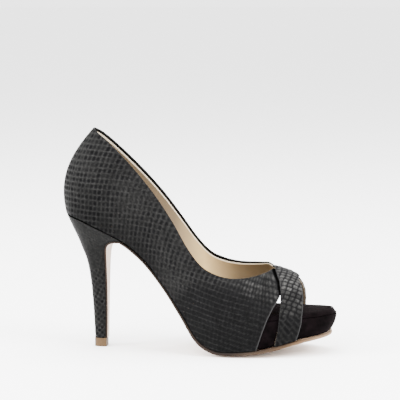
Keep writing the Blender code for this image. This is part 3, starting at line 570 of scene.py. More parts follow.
def band_grids(side, rows=QUARTER_ROWS, columns=QUARTER_COLUMNS, crossing=CROSSING_COLUMNS,
               strap_rows=STRAP_ROWS, fine=True):
    """Stations and shares up of a quarter and of the strap that continues it on the other side."""
    ups = spread(rows, QUARTER_HEIGHT, False, fine)
    front = edge_stations(side, ups, QUARTER_FRONT, QUARTER_SPAN)
    heights = wall(side, front, ups)[:, 2] / MM
    start = ups[int(np.argmax(heights > APEX_HEIGHT))]
    front = eased_end(ups, front, start, PEEP_STATION)
    throat = THROAT_LINE + (THROAT_STATION - THROAT_LINE) * ups**1.3
    near = spread(columns, QUARTER_LENGTH, fine, False)
    far = spread(crossing, STRAP_WIDTH, False, fine)
    quarter = [np.concatenate((low * near, blend(low, high, far[1:]))) for low, high in zip(throat, front)]
    strap_ups = spread(strap_rows, STRAP_LENGTH, False, False)
    rear = edge_stations(-side, strap_ups, STRAP_REAR, STRAP_REAR_SPAN)
    peep = edge_stations(-side, strap_ups, STRAP_FRONT, STRAP_FRONT_SPAN, FRONT_SLANT)
    rear = eased_end(strap_ups, rear, 0.93, THROAT_STATION)
    peep = eased_end(strap_ups, peep, 0.9, PEEP_STATION)
    across = spread(crossing, STRAP_WIDTH, False, fine)
    strap = [blend(low, high, across) for low, high in zip(rear, peep)]
    return (side, *place_grid(ups, quarter)), (-side, *place_grid(strap_ups, strap))


print("grid of a quarter:", QUARTER_ROWS, "x", QUARTER_COLUMNS + CROSSING_COLUMNS)

# %% Lift the band that crosses on top
KNOT = 0.9 * MM


def lift(raised, quarter, place, up):
    """How far a band stands out of the last: the upper one rides over the other at the crossing."""
    if not raised:
        return np.zeros_like(place)
    height = ease(0.4, 0.7, up)
    if quarter:
        height = height * ease(11, 14.2, place)
    knot = ease(14.2, 15.0, place) * ease(16.2, 15.2, place) * ease(0.86, 0.98, up)
    return STRAP_STEP * height + KNOT * knot

# %% Distance to the folded edges
def edge_distance(points, boundary):
    """How far each point lies from the nearest point of a piece's folded edges."""
    tree = kdtree.KDTree(len(boundary))
    for index, point in enumerate(boundary):
        tree.insert(point, index)
    tree.balance()
    flat = points.reshape(-1, 3)
    return np.array([tree.find(point)[2] for point in flat]).reshape(points.shape[:-1])


def dense(line, step=0.3 * MM):
    """A polyline with points close together."""
    gaps = np.linalg.norm(np.diff(line, axis=0), axis=1)
    length = np.concatenate(((0,), np.cumsum(gaps)))
    marks = np.arange(0, length[-1], step)
    return np.stack([np.interp(marks, length, line[:, axis]) for axis in range(3)], axis=1)

# %% Roll the topline and mark faces
def topline_roll(side, place, up):
    """The inner quarter's topline stands a little higher beside the instep."""
    return (ROLL if side == INNER else 0.0) * ease(6, 10, place) * ease(THROAT_STATION, 14.4, place) * up**8


def mark_faces(piece):
    """Puts the faces between marked points in the second material slot."""
    mesh = piece.data
    lit = read(mesh.attributes["relief"].data, "color", 4).reshape(-1, 4)[:, 3]
    corners = read(mesh.loops, "vertex_index", kind=np.int32)
    starts = read(mesh.polygons, "loop_start", kind=np.int32)
    counts = np.diff(np.append(starts, len(corners)))
    mean = np.add.reduceat(lit[corners], starts) / counts
    mesh.materials.append(None)
    mesh.materials.append(None)
    mesh.polygons.foreach_set("material_index", (mean < 0.5).astype(np.int32))

# %% Lay a band on the last
ROLL = 1.1 * MM
# SEAM is the width of the painted shadow along the quarter's foot at the heel seat.
SEAM = 0.9 * MM
SEAM_DEPTH = 0.3 * MM
LEATHER = 1.0 * MM
FOLD_RADIUS = 0.5 * MM
UV_UNIT = 10 * MM


def arc_from(points, axis):
    """Distance walked along a grid's rows or columns."""
    gaps = np.linalg.norm(np.diff(points, axis=axis), axis=-1)
    walked = np.cumsum(gaps, axis=axis)
    pad = np.zeros_like(np.take(walked, [0], axis=axis))
    return np.concatenate((pad, walked), axis=axis)


def laid_band(side, raised):
    """The grids of a quarter and its strap on the last, and their folded edges as dense lines:
    those in the dark, and those that catch the light towards the toe."""
    laid, dark_edges, bright_edges = [], [], []
    for number, (which, place, up) in enumerate(band_grids(side)):
        surface = wall(which, place, up)
        normal = wall_normal(which, place, up)
        surface = surface + normal * lift(raised, number == 0, place, up)[..., None]
        if number == 0:
            surface[..., 2] += topline_roll(which, place, up)
            throat_column = int(np.argmax(place[-1] >= THROAT_STATION - 0.001))
            dark_edges.append(dense(surface[-1, : throat_column + 1]))
        dark_edges.append(dense(surface[:, 0]))
        bright_edges.append(dense(surface[:, -1]))
        laid.append((which, place, up, surface, normal))
    return laid, np.concatenate(dark_edges), np.concatenate(bright_edges)

# %% Shadows of a band
def hidden_part(quarter, place, up):
    """1 where the lower band lies under the upper one, so that its scales stay flat."""
    if quarter:
        return np.clip((place - (THROAT_STATION - 0.5 + (up < 0.6) * 9)) / 0.5, 0, 1)
    return np.clip((up - 0.72) / 0.1, 0, 1)


def crossing_shadow(surface):
    """1 in the gap where the lower quarter runs under the upper band, where the band's shadow is painted.
    """
    heights = surface[..., 2] / MM
    strap_edge = np.interp(heights, STRAP_REAR[:, 0], STRAP_REAR[:, 1])
    wedge = np.interp(heights, (45, 61), (-1.2, -2.3))
    beside = ease(-0.3, 0.3, surface[..., 0] / MM - strap_edge - wedge)
    return beside * ease(44.5, 46, heights) * ease(63.5, 61, heights)

# %% Make a band of scale leather
def leather_band(name, side, raised):
    """A quarter and its strap as one piece of embossed leather."""
    laid, dark_edges, bright_edges = laid_band(side, raised)
    pieces = []
    for number, (which, place, up, surface, normal) in enumerate(laid):
        quarter = number == 0
        x, z = surface[..., 0] / MM, surface[..., 2] / MM
        along = arc_from(surface * (1, 1, 0), 1) + surface[:, :1, 0] - COLUMN_LEAN * surface[..., 2]
        from_ridge = arc_from(surface[::-1], 0)[::-1] + np.abs(surface[-1:, :, 1])
        crossing = ease(0.6, 0.8, up) * ease(14.0, 15.2, place) if raised else 0.0
        strap = number if number else crossing
        height, tone, strength = scales(surface, along, from_ridge, strap)
        near_bright = edge_distance(surface, bright_edges)
        near_edge = np.minimum(edge_distance(surface, dark_edges), near_bright)
        fold = np.clip(1 - near_edge / FOLD_RADIUS, 0, 1)
        round_off = FOLD_RADIUS * (1 - np.sqrt(1 - fold**2 * 0.98))
        calm = np.clip((near_edge - 0.3 * MM) / (0.7 * MM), 0, 1)
        hidden = 0.0 if raised else hidden_part(quarter, place, up)
        shadow = crossing_shadow(surface) if quarter and not raised else 0.0
        # Painted shade: the leather is darker low down, near the sole (on the quarter within 20 mm of the
        # foot of its wall), and more towards the heel.
        painted_low_shade = ease(30, 15, z)
        if quarter:
            # Painted shadow: a dark strip along the foot of the quarter over the heel seat, in the groove
            # where it meets the heel.
            seam = ease(SEAM, 0.6 * SEAM, arc_from(surface, 0)) * ease(7.6, 7.0, place)
            shadow = np.maximum(shadow, seam)
            painted_low_shade = ease(20 * MM, 2 * MM, arc_from(surface, 0))
        rise = (RELIEF * strength * (height - 0.5) * calm - SEAM_DEPTH * shadow) * (1 - hidden)
        push = normal * (rise - round_off * 0.9)[..., None]
        # Painted highlight: close to the folded edges that catch the light, below about 50 mm up, the
        # leather is painted paler.
        edge = ease(0.9 * MM, 0.4 * MM, near_bright) * ease(60, 44, z)
        tone = 0.55 + 0.4 * (tone - 0.5) - painted_low_shade * (0.15 + 0.3 * ease(85, 60, x))
        # Painted highlight: the tone is raised over the top of the vamp, and more over the strap.
        tone += (0.12 + 0.38 * strap) * ease(126, 142, x) * ease(40, 52, z)
        height = (height * calm + 0.5 * (1 - calm)) * (1 - shadow)
        looks = np.stack((height, tone, edge, 1 - shadow * np.ones_like(tone)), axis=-1)
        uv = np.stack((along, from_ridge), axis=-1) / UV_UNIT
        part = name if quarter else name + "_strap"
        pieces.append(wrapped_grid(part, surface, which == INNER, uv, push, looks))
    band = joined(pieces)
    thickened(band, LEATHER)
    band.name = name
    mark_faces(band)
    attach(band, "root")
    print(name, "has", len(band.data.polygons), "faces")
    return band

# %% Cut the two bands
under_band = leather_band("outer_quarter_leather", OUTER, False)
over_band = leather_band("inner_quarter_leather", INNER, True)

# %% [markdown]
# The lining is a thinner, paler leather behind each band. The black leather is folded over the
# topline, so inside the shoe a black rim shows first, and the lining's top edge, painted with a
# highlight, starts below it.

# %% Line the bands
LINING = 0.55 * MM
LINING_GAP = 0.02 * MM
RIM_PLACES = (0, 1, 4, 7, 9, 11, 13, THROAT_STATION - 0.2, THROAT_STATION)
RIM_DEPTHS = np.array((1.2, 2.0, 2.6, 2.9, 2.3, 1.6, 2.4, 2.2, 0)) * MM
# The share of the wall at the lining's top that gets the painted highlight.
HIGHLIGHT_STRIP = 0.016
FOOT_GAP = 0.012


def lining_band(name, side, raised):
    """A smooth sheet behind a band, set back from its edges."""
    pieces = []
    for number, (which, place, up) in enumerate(band_grids(side, 44, 90, 14, 50, False)):
        shares = np.linspace(0, 1, place.shape[1])[None, :]
        up = FOOT_GAP + (1 - FOOT_GAP) * up
        short = up
        looks = np.ones((*up.shape, 4))
        if number == 0:
            # The top strip is marked for the painted highlight on the lining's edge.
            up[-2] = 1 - HIGHLIGHT_STRIP
            looks[-2:, :, 3] = 0
            wall_length = np.linalg.norm(np.diff(wall(which, place, up), axis=0), axis=-1).sum(axis=0)
            rim = np.interp(place[-1], RIM_PLACES, RIM_DEPTHS)
            short = up * (1 - rim / wall_length)
            place = place - 0.12 * np.clip((shares - 0.97) / 0.03, 0, 1)
        else:
            place = place + 0.03 * (1 - 2 * shares) * (up < 0.995)
        surface = wall(which, place, short)
        normal = wall_normal(which, place, short)
        if number == 0:
            surface[..., 2] += topline_roll(which, place, short)
        depth = lift(raised, number == 0, place, short) - LEATHER - LINING_GAP
        pieces.append(wrapped_grid(name, surface + normal * depth[..., None], which == INNER, looks=looks))
    lining = joined(pieces)
    thickened(lining, LINING)
    lining.name = name
    mark_faces(lining)
    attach(lining, "root")
    return lining


under_lining = lining_band("outer_quarter_lining", OUTER, False)
over_lining = lining_band("inner_quarter_lining", INNER, True)
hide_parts("upper")

# %% [markdown]
# Footbed, platform and outsole are plates that follow the feather line from end to end. For each, a
# section is drawn at many stations from the same last, so that the plates fit inside the wall. The
# sections are laid on a grid primitive, whose first and last columns are then welded together.

# %% Levels along the sole
FOOT = np.array([station(OUTER, place) for place in PLACES])
FOOT_INNER = np.array([station(INNER, place) for place in PLACES])


def level(raise_by=0.0, platform_share=0.0):
    """A side-view line: the feather line raised by a distance and a share of the platform."""
    return FOOT[:, 0], FOOT[:, 2] + raise_by + platform_share * FOOT[:, 6]


def square_off(line, distance):
    """A side-view line moved square to itself, upwards for a positive distance."""
    x, z = line
    run, rise = np.gradient(x), np.gradient(z)
    length = np.hypot(run, rise)
    return x - rise / length * distance, z + run / length * distance


def outwards(side, places):
    """Level directions straight out of the shoe."""
    rows = FOOT if side == OUTER else FOOT_INNER
    run, across = np.gradient(rows[:, 0]), np.gradient(rows[:, 1])
    run[0] = run[-1] = 0
    across[0], across[-1] = side, -side
    length = np.hypot(run, across)
    x = np.interp(places, PLACES, -side * across / length)
    y = np.interp(places, PLACES, side * run / length)
    length = np.hypot(x, y)
    return np.stack((x / length, y / length, np.zeros_like(x)), axis=-1)

# %% Where a level meets the wall
def shelf(side, places, line, inset):
    """Where a level meets the wall, moved in by an inset."""
    low, high = np.zeros_like(places), np.full_like(places, 0.7)
    for _ in range(26):
        middle = (low + high) / 2
        points = wall(side, places, middle)
        under = points[:, 2] < np.interp(points[:, 0], *line)
        low, high = np.where(under, middle, low), np.where(under, high, middle)
    points = wall(side, places, low) - outwards(side, places) * np.asarray(inset)[..., None]
    points[:, 2] = np.interp(points[:, 0], *line)
    return points


OPEN_TOE = (18.6, 20.2)
LEAN_BEGINS = 18.8


def cover(places):
    """1 where the upper covers the plates' edge, 0 in the open toe."""
    return 1 - ease(*OPEN_TOE, places)


def overhang(places):
    """How far the plates lean out over the sole at the toe."""
    return TOE_OVERHANG * ease(LEAN_BEGINS, STATIONS, places)

# %% Skin a row of sections
# The upper's thickness at the plates, with room for the lining's foot.
UPPER_WALL = 1.85 * MM
PLATE_NODES = 24


def closed_loft(name, loops, uv=None, looks=None):
    """Lays closed sections on a grid primitive and welds it into a closed piece."""
    def again(array):
        return None if array is None else np.concatenate((array, array[:, :1]), axis=1)
    piece = wrapped_grid(name, again(loops), False, again(uv), looks=again(looks))
    joined([piece])
    bpy.ops.object.mode_set(mode="EDIT")
    bpy.ops.mesh.select_all(action="SELECT")
    bpy.ops.mesh.fill_holes(sides=0)
    bpy.ops.mesh.select_all(action="SELECT")
    bpy.ops.mesh.normals_make_consistent(inside=False)
    bpy.ops.object.mode_set(mode="OBJECT")
    return piece


def ring(rows, nodes, crown=0.0):
    """Closed sections from the outer and inner edges of a plate's levels, bottom to top."""
    across = (np.arange(1, nodes) / nodes)[None, :, None]
    under, over = (row[0][:, None] * (1 - across) + row[1][:, None] * across for row in (rows[0], rows[-1]))
    over[..., 2] += crown * (1 - (2 * across[..., 0] - 1) ** 2)
    outer_side = np.stack([row[0] for row in rows], axis=1)
    inner_side = np.stack([row[1] for row in rows[::-1]], axis=1)
    half = nodes // 2
    around = (under[:, :half][:, ::-1], outer_side, over, inner_side, under[:, half:][:, ::-1])
    return np.concatenate(around, axis=1)


def plate(name, places, levels, crown=0.0):
    """A plate from its levels, bottom to top: each a side-view line, an inset and a share of overhang."""
    rows = []
    for line, inset, lean in levels:
        reach = (UPPER_WALL + CLEARANCE) * cover(places) + inset - overhang(places) * lean
        rows.append([shelf(side, places, line, reach) for side in (OUTER, INNER)])
    return closed_loft(name, ring(rows, PLATE_NODES, crown))

# %% Platform wrapped in suede
platform_places = np.linspace(8.4, STATIONS, 150)
# How far a level is raised, in millimetres and as a share of the platform, its inset in
# millimetres and its share of the toe's overhang, from the bottom to the top.
platform_levels = [(level(up * MM, share), inset * MM, lean) for up, share, inset, lean in (
    (0.25, 0.0, 0.9, 0.0), (0.6, 0.0, 0.35, 0.02), (0.0, 0.12, 0.1, 0.10), (0.0, 0.45, 0.0, 0.45),
    (0.0, 0.8, 0.0, 0.78), (-0.9, 1.0, 0.05, 0.92), (-0.3, 1.0, 0.35, 0.94), (-0.1, 1.0, 0.9, 0.97))]
platform = plate("suede_platform", platform_places, platform_levels)
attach(platform, "root")
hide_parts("platform")

# %% [markdown]
# The footbed is padded and wrapped in the same suede, so its edge is round and its top is slightly
# crowned. Where the foot's weight rests, further back, a beige leather sock is glued over it.

# %% Footbed
bed_under = level(0.1 * MM, 1.0)
# How far a level lies above the footbed's underside, its inset, both in millimetres, and its
# share of the toe's overhang.
footbed_levels = [(square_off(bed_under, up * MM), inset * MM, lean) for up, inset, lean in (
    (0.05, 1.0, 0.97), (0.2, 0.3, 0.98), (0.7, 0.0, 1.0), (1.7, 0.05, 1.02), (2.5, 0.4, 1.03),
    (3.1, 1.0, 1.03), (3.5, 2.0, 1.03), (INSOLE_THICKNESS / MM, 3.6, 1.0))]
footbed = plate("suede_footbed", np.linspace(0, STATIONS, 220), footbed_levels, 0.8 * MM)
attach(footbed, "root")
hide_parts("insole")

# %% Beige sock
sock_places = np.linspace(0.0, 14.4, 150)
sock_levels = [(square_off(bed_under, up * MM), inset * MM, 0.0) for up, inset in (
    (3.4, 2.0), (4.05, 2.1), (4.2, 2.6))]
sock = plate("lining_sock", sock_places, sock_levels, 0.5 * MM)
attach(sock, "root")
print("footbed and sock:", len(footbed.data.polygons), len(sock.data.polygons), "faces")

# %% [markdown]
# The heel is a slender block, round behind and flat in front, and its top is cut to the slope of
# the heel seat. The table gives its side view and width from the foot upwards, as in the CAD.

# %% The heel's sections
# The heel from its foot to the seat. Back and front are where the section starts and ends in the
# side view: x as shares of SHOE_LENGTH, z as shares of HEEL_HEIGHT. half is a share of
# SEAT_HALF_WIDTH, and sag says how much of the seat's own hollow the section has taken on.
# Columns: back_x, back_z, front_x, front_z, half, sag.
HEEL = [
    (0.1117, 0.0662, 0.1524, 0.0662, 0.188, 0.00),
    (0.1090, 0.198, 0.1534, 0.198, 0.204, 0.00),
    (0.1052, 0.326, 0.1544, 0.326, 0.233, 0.00),
    (0.1000, 0.455, 0.1549, 0.455, 0.287, 0.00),
    (0.0932, 0.563, 0.1549, 0.563, 0.358, 0.00),
    (0.0828, 0.662, 0.1549, 0.658, 0.458, 0.05),
    (0.0665, 0.751, 0.1568, 0.731, 0.583, 0.15),
    (0.0515, 0.830, 0.1631, 0.777, 0.717, 0.30),
    (0.0355, 0.899, 0.1772, 0.806, 0.833, 0.50),
    (0.0232, 0.954, 0.1966, 0.8195, 0.920, 0.75),
    (0.0135, 0.996, 0.2230, 0.823, 0.985, 1.00),
]

SEAT_NODES = 70


def seat_outline():
    """The outline of the heel seat from its outer front corner round the back to its inner front
    corner, as shares: 0 to 1 from back to front, and -1 to 1 across."""
    back = FEATHER[0][0]
    front = HEEL[-1][2]
    last = next(place for place in range(STATIONS) if FEATHER[place + 1][0] > front)
    reach = last + (front - FEATHER[last][0]) / (FEATHER[last + 1][0] - FEATHER[last][0])
    halves = {}
    for side in (OUTER, INNER):
        halves[side] = []
        for index in range(SEAT_NODES):
            row = station(side, reach * index / (SEAT_NODES - 1))
            along = (row[0] / SHOE_LENGTH - back) / (front - back)
            halves[side].append((along, row[1] / SEAT_HALF_WIDTH))
    return halves[OUTER][::-1] + halves[INNER][1:]


def heel_rows(count):
    """The heel's table read at more levels along smooth curves."""
    guided = [HEEL[0], *HEEL, HEEL[-1]]
    rows = []
    for index in range(count):
        place = (len(HEEL) - 1) * index / (count - 1)
        rows.append([through([row[column] for row in guided], place) for column in range(len(HEEL[0]))])
    return rows

# %% Sections of the heel
SEAT_LINE = (FOOT[:, 0], FOOT[:, 2])
FRONT_NODES = 24


def heel_sections(rows, outline):
    """Closed sections of the heel, with points along the flat front too."""
    seat_back, seat_front = HEEL[-1][0] * SHOE_LENGTH, HEEL[-1][2] * SHOE_LENGTH
    ends = np.interp((seat_back, seat_front), *SEAT_LINE)
    along, across = outline[:, 0], outline[:, 1]
    sections = []
    for back_x, back_z, front_x, front_z, half, sag in rows:
        x = (back_x + (front_x - back_x) * along) * SHOE_LENGTH
        z = (back_z + (front_z - back_z) * along) * HEEL_HEIGHT
        seat = np.interp(seat_back + (seat_front - seat_back) * along, *SEAT_LINE)
        hollow = seat - (ends[0] + (ends[1] - ends[0]) * along)
        loop = np.stack((x, across * half * SEAT_HALF_WIDTH, z + sag * hollow - CLEARANCE * sag), axis=1)
        shares = np.arange(1, FRONT_NODES + 1) / (FRONT_NODES + 1)
        front = loop[-1] + (loop[0] - loop[-1]) * shares[:, None]
        sections.append(np.concatenate((loop, front)))
    return np.array(sections)

# %% Cover the heel
HEEL_RELIEF = 0.55 * MM


def heel_cover():
    """The covered heel with a fine emboss that grows towards the back."""
    rows = heel_rows(170)
    sections = heel_sections(rows, np.array(seat_outline()))
    ring = np.roll(sections, -1, axis=1) - np.roll(sections, 1, axis=1)
    rise = np.gradient(sections, axis=0)
    normal = np.cross(ring, rise)
    normal /= np.maximum(np.linalg.norm(normal, axis=-1, keepdims=True), 1e-12)
    centre = sections.mean(axis=1, keepdims=True)
    facing = np.sign(np.sum(normal * (sections - centre), axis=-1).mean())
    normal *= facing
    walked = arc_from(sections, 1)
    walked = walked - walked[:, sections.shape[1] // 2][:, None]
    z = sections[..., 2]
    first = (walked * 0.9 + z * 0.75) / (3.3 * MM)
    second = (walked * 0.75 - z * 0.95) / (4.1 * MM)
    first = first + 0.35 * cell_noise(np.floor(second), 8.0)
    pit, tone = cushions(first, second, 1.7, 9.0)
    back = np.clip(1 - np.abs(walked) / (17 * MM), 0, 1)
    fading = 1 - 0.75 * ease(50 * MM, 64 * MM, z)
    height = 0.55 - 0.8 * (pit - 0.35) * (0.5 + tone) * fading
    push = normal * (HEEL_RELIEF * (0.45 + 0.55 * back) * (height - 0.6))[..., None]
    # Painted highlight: the heel's tone is paler down the middle of its back.
    tone = 0.31 + 0.3 * (tone - 0.5) + 0.9 * np.clip(back - 0.5, 0, 1)
    looks = np.stack((height, tone, np.zeros_like(pit), np.ones_like(pit)), axis=-1)
    uv = np.stack((walked, z), axis=-1) / UV_UNIT
    piece = closed_loft("covered_heel", sections + push, uv, looks)
    smoothed(40)
    return piece


heel = heel_cover()
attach(heel, "root")
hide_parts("heel")
print("heel:", len(heel.data.polygons), "faces")

# %% [markdown]
# The outsole is one strip of tan leather. It starts at the floor under the toes, thins under the
# arch, bends down at the heel's lip and covers the heel's flat front as a breast flap.

# %% The outsole's path in side view
OUTSOLE_EDGE = 0.6 * MM
CROWN_MARGIN = 0.45
FLAP_PALE = 4
SOLE_PALE = 3


def sole_path():
    """Upper face of the outsole: x, z and the two half widths, from the breast's foot to the toe."""
    outline = seat_outline()
    corners = abs(outline[0][1]), abs(outline[-1][1])
    path = []
    for back_x, back_z, front_x, front_z, half, sag in heel_rows(70):
        width = half * SEAT_HALF_WIDTH
        path.append((front_x * SHOE_LENGTH, front_z * HEEL_HEIGHT - CLEARANCE * sag,
                     corners[0] * width, corners[1] * width))
    start = float(np.interp(path[-1][0] + 5 * MM, FOOT[:, 0], PLACES))
    for place in np.concatenate((np.linspace(start, 22, 110), np.linspace(22, STATIONS, 26)[1:])):
        outer, inner = station(OUTER, place), station(INNER, place)
        edge = OUTSOLE_EDGE * min(1.0, (inner[1] - outer[1]) / (4 * MM))
        path.append((outer[0], outer[2] - CLEARANCE / 2, edge - outer[1], edge + inner[1]))
    return np.array(path)

# %% Cut the outsole
SOLE_NODES = 16
# One side of the sole from its underside up to its upper face: depth in the thickness, share of the
# crown's drop, and tuck, which is positive towards the crown's margin and negative at the edge.
SOLE_PROFILE = (
    (1.0, 1.0, 1.0), (1.0, 0.8, 0.75), (1.0, 0.3, 0.4), (1.0, 0.0, 0.0), (0.93, 0.0, -0.38),
    (0.78, 0.0, -0.74), (0.55, 0.0, -0.95), (0.3, 0.0, -1.0), (0.06, 0.0, -0.97), (0.0, 0.0, -0.84),
)


def outsole_piece():
    """Sections of the outsole along its path, with a rounded, slightly tucked edge."""
    path = sole_path()
    x, z = square_off((path[:, 0], path[:, 1]), -CLEARANCE)
    down = np.stack(square_off((path[:, 0], path[:, 1]), -CLEARANCE - MM)) - np.stack((x, z))
    ball, waist = FEATHER[11][0] * SHOE_LENGTH, FEATHER[8][0] * SHOE_LENGTH
    thickness = blend(WAIST_THICKNESS, OUTSOLE_THICKNESS, ease(waist, ball, x))
    width = path[:, 2] + path[:, 3]
    chamfer = np.minimum(1.1 * MM, 0.2 * width)
    margin = CROWN_MARGIN * width / 2
    crown = np.array([sole_crown(share) for share in x / SHOE_LENGTH])
    rows = []
    for depth, drop, tuck in SOLE_PROFILE:
        sunk = down / MM * thickness * depth
        line = np.stack((x + sunk[0], np.maximum(z + sunk[1] - crown * drop, 0.0)))
        inset = chamfer * (1 + tuck) if tuck < 0 else chamfer + np.maximum(margin - chamfer, 0) * tuck
        rows.append([np.stack((line[0], side * (half - inset), line[1]), axis=1)
                     for side, half in ((OUTER, path[:, 2]), (INNER, path[:, 3]))])
    loops = ring(rows, SOLE_NODES)
    looks = np.ones((*loops.shape[:2], 4))
    depths = [row[0] for row in SOLE_PROFILE]
    near_side, steps = SOLE_NODES // 2, len(depths)
    far_side = near_side + steps + SOLE_NODES - 2
    looks[:, near_side : near_side + steps, 0] = depths
    looks[:, far_side + 1 : far_side + 1 + steps, 0] = depths[::-1]
    flap = path[:, 0] < FEATHER[6][0] * SHOE_LENGTH
    for pale, stretch in ((FLAP_PALE, flap), (SOLE_PALE, ~flap)):
        looks[stretch, near_side + pale : near_side + steps + 1, 3] = 0
        looks[stretch, far_side : far_side + steps - pale + 1, 3] = 0
    piece = closed_loft("leather_outsole", loops, looks=looks)
    mark_faces(piece)
    smoothed(60)
    return piece


outsole = outsole_piece()
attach(outsole, "root")
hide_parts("outsole")
print("outsole:", len(outsole.data.polygons), "faces")

# %% [markdown]
# Each finish is built from nodes. A small helper starts a material and wires nodes by name, and
# the patterns read Object coordinates, or the relief attribute that the leather pieces carry.

# %% Helpers for finishes
class Finish:
    """A node material that is built line by line."""

    def __init__(self, name, colour, roughness, specular=0.5):
        self.material = bpy.data.materials.new(name)
        self.material.use_nodes = True
        self.material.diffuse_color = (*colour, 1)
        self.tree = self.material.node_tree
        self.shader = self.tree.nodes["Principled BSDF"]
        self.shader.inputs["Base Color"].default_value = (*colour, 1)
        self.shader.inputs["Roughness"].default_value = roughness
        self.shader.inputs["Specular IOR Level"].default_value = specular
        self.place = self.node("ShaderNodeTexCoord").outputs["Object"]

    def node(self, kind, **settings):
        made = self.tree.nodes.new(kind)
        for key, value in settings.items():
            if key in made.inputs:
                made.inputs[key].default_value = value
            else:
                setattr(made, key, value)
        return made

    def link(self, start, end):
        self.tree.links.new(start, end)

    def paint(self, colour):
        self.link(colour, self.shader.inputs["Base Color"])

    def noise(self, scale, detail):
        made = self.node("ShaderNodeTexNoise", Scale=scale, Detail=detail, Roughness=0.55)
        self.link(self.place, made.inputs["Vector"])
        return made.outputs["Fac"]

    def ramp(self, value, stops):
        """Colours, or single factors, along a value."""
        made = self.node("ShaderNodeValToRGB")
        elements = made.color_ramp.elements
        while len(elements) < len(stops):
            elements.new(0.5)
        for element, (position, colour) in zip(elements, stops):
            element.position = position
            element.color = (*colour, 1) if len(colour) == 3 else (colour[0],) * 3 + (1,)
        self.link(value, made.inputs["Fac"])
        return made.outputs["Color"]

    def mottle(self, scale, detail, dark, light, low=0.3, high=0.7):
        """Patches that wander between two colours or factors."""
        return self.ramp(self.noise(scale, detail), [(low, dark), (high, light)])

    def mix(self, share, first, second, blend_type="MIX"):
        made = self.node("ShaderNodeMix", data_type="RGBA", blend_type=blend_type)
        for socket, value in ((made.inputs[0], share), (made.inputs[6], first), (made.inputs[7], second)):
            if isinstance(value, (int, float)):
                socket.default_value = value
            elif isinstance(value, tuple):
                socket.default_value = (*value, 1)
            else:
                self.link(value, socket)
        return made.outputs[2]

    def toned(self, colour, *factors):
        """A colour multiplied by one factor after another."""
        for factor in factors:
            colour = self.mix(1.0, colour, factor, "MULTIPLY")
        return colour

    def relief(self):
        """What the piece carries at each point: height, tone with painted shade and highlight, and nearness
        to a folded edge that catches the light, for a painted highlight.
        """
        carried = self.node("ShaderNodeAttribute", attribute_name="relief")
        parts = self.node("ShaderNodeSeparateColor")
        self.link(carried.outputs["Color"], parts.inputs["Color"])
        return [parts.outputs[name] for name in ("Red", "Green", "Blue")]

    def forward(self, back, front):
        """0 at a place along the shoe and 1 at a place nearer the toe."""
        split = self.node("ShaderNodeSeparateXYZ")
        self.link(self.place, split.inputs["Vector"])
        made = self.node("ShaderNodeMapRange", **{"From Min": back, "From Max": front})
        self.link(split.outputs["X"], made.inputs["Value"])
        return made.outputs["Result"]

    def bump(self, scale, detail, strength, distance):
        """Fine grain in the normals, from a noise."""
        made = self.node("ShaderNodeBump", Strength=strength, Distance=distance)
        self.link(self.noise(scale, detail), made.inputs["Height"])
        self.link(made.outputs["Normal"], self.shader.inputs["Normal"])


def dress(piece, finish):
    """Puts a finish on a piece."""
    piece.data.materials.clear()
    piece.data.materials.append(finish.material)

# %% [markdown]
# The scale leather is charcoal rather than black: the tops of the scales are glossier and paler,
# and the gaps darker. No two scales have quite the same tone. Painted shade and painted highlight
# ride on that tone, and the folded edges that catch the light get a painted highlight.

# %% Black scale leather
scale_leather = Finish("black_scale_leather", (0.02, 0.02, 0.021), 0.5, 0.04)
height, tone, edge = scale_leather.relief()
relief_colour = scale_leather.ramp(height, [(0.0, (0.0005, 0.0005, 0.0006)), (0.3, (0.0013, 0.0013, 0.0014)),
                                  (0.95, (0.0116, 0.0114, 0.0108))])
# The tone ramp carries each scale's own tone, with painted shade low down and painted highlight on the
# vamp, the strap and the heel's back.
shade = scale_leather.ramp(tone, [(0.0, (0.3,)), (0.75, (1.2,)), (1.0, (2.1,))])
clouds = scale_leather.mottle(70, 3, (0.8,), (1.2,))
grain = scale_leather.mottle(620, 2, (0.5,), (1.5,), 0.35, 0.65)
scaled = scale_leather.toned(relief_colour, shade, clouds, grain)
# Painted highlight: near the folded edges that catch the light, a paler grey is mixed in.
scale_leather.paint(scale_leather.mix(edge, scaled, (0.015, 0.015, 0.015)))
gloss = scale_leather.ramp(height, [(0.0, (0.85,)), (1.0, (0.38,))])
scale_leather.link(gloss, scale_leather.shader.inputs["Roughness"])
scale_leather.bump(2600, 3, 0.3, 0.0001)

# %% Painted shadow: black for the gap at the crossing and the seam at the heel seat
painted_shadow_black = Finish("painted_shadow_black", (0.0006, 0.0006, 0.0006), 1.0, 0.0)

# %% [markdown]
# The lining is a soft beige leather. Inside the quarters shade is painted on it: darkest at the back
# and under the vamp, and palest in between. The sock is painted darker towards the toe as shade under
# the vamp. The lining's top edge below the topline gets a nearly white painted highlight.

# %% Beige lining and sock leather
def lining_finish(name, back, front, stops):
    """Beige leather with painted shade that changes along the shoe."""
    made = Finish(name, (0.52, 0.39, 0.2), 0.6)
    beige = made.mottle(45, 3, (0.48, 0.35, 0.17), (0.57, 0.43, 0.22))
    made.paint(made.toned(beige, made.ramp(made.forward(back, front), stops)))
    made.bump(1500, 4, 0.2, 0.00015)
    return made


# Painted shade inside the quarters: dark and cool at the back and under the vamp, palest in between.
lining_leather = lining_finish("beige_lining_leather", -0.045, 0.045, [
    (0.0, (0.21, 0.20, 0.23)), (0.25, (0.24, 0.23, 0.26)), (0.38, (0.5, 0.48, 0.48)),
    (0.5, (0.93, 0.9, 0.82)), (0.65, (0.5, 0.48, 0.5)), (0.79, (0.27, 0.27, 0.33)),
    (1.0, (0.19, 0.185, 0.22))])
# Painted shade: the sock darkens towards the toe, under the vamp.
sock_leather = lining_finish("beige_sock_leather", -0.01, 0.045, [(0.0, (0.9,)), (1.0, (0.2,))])
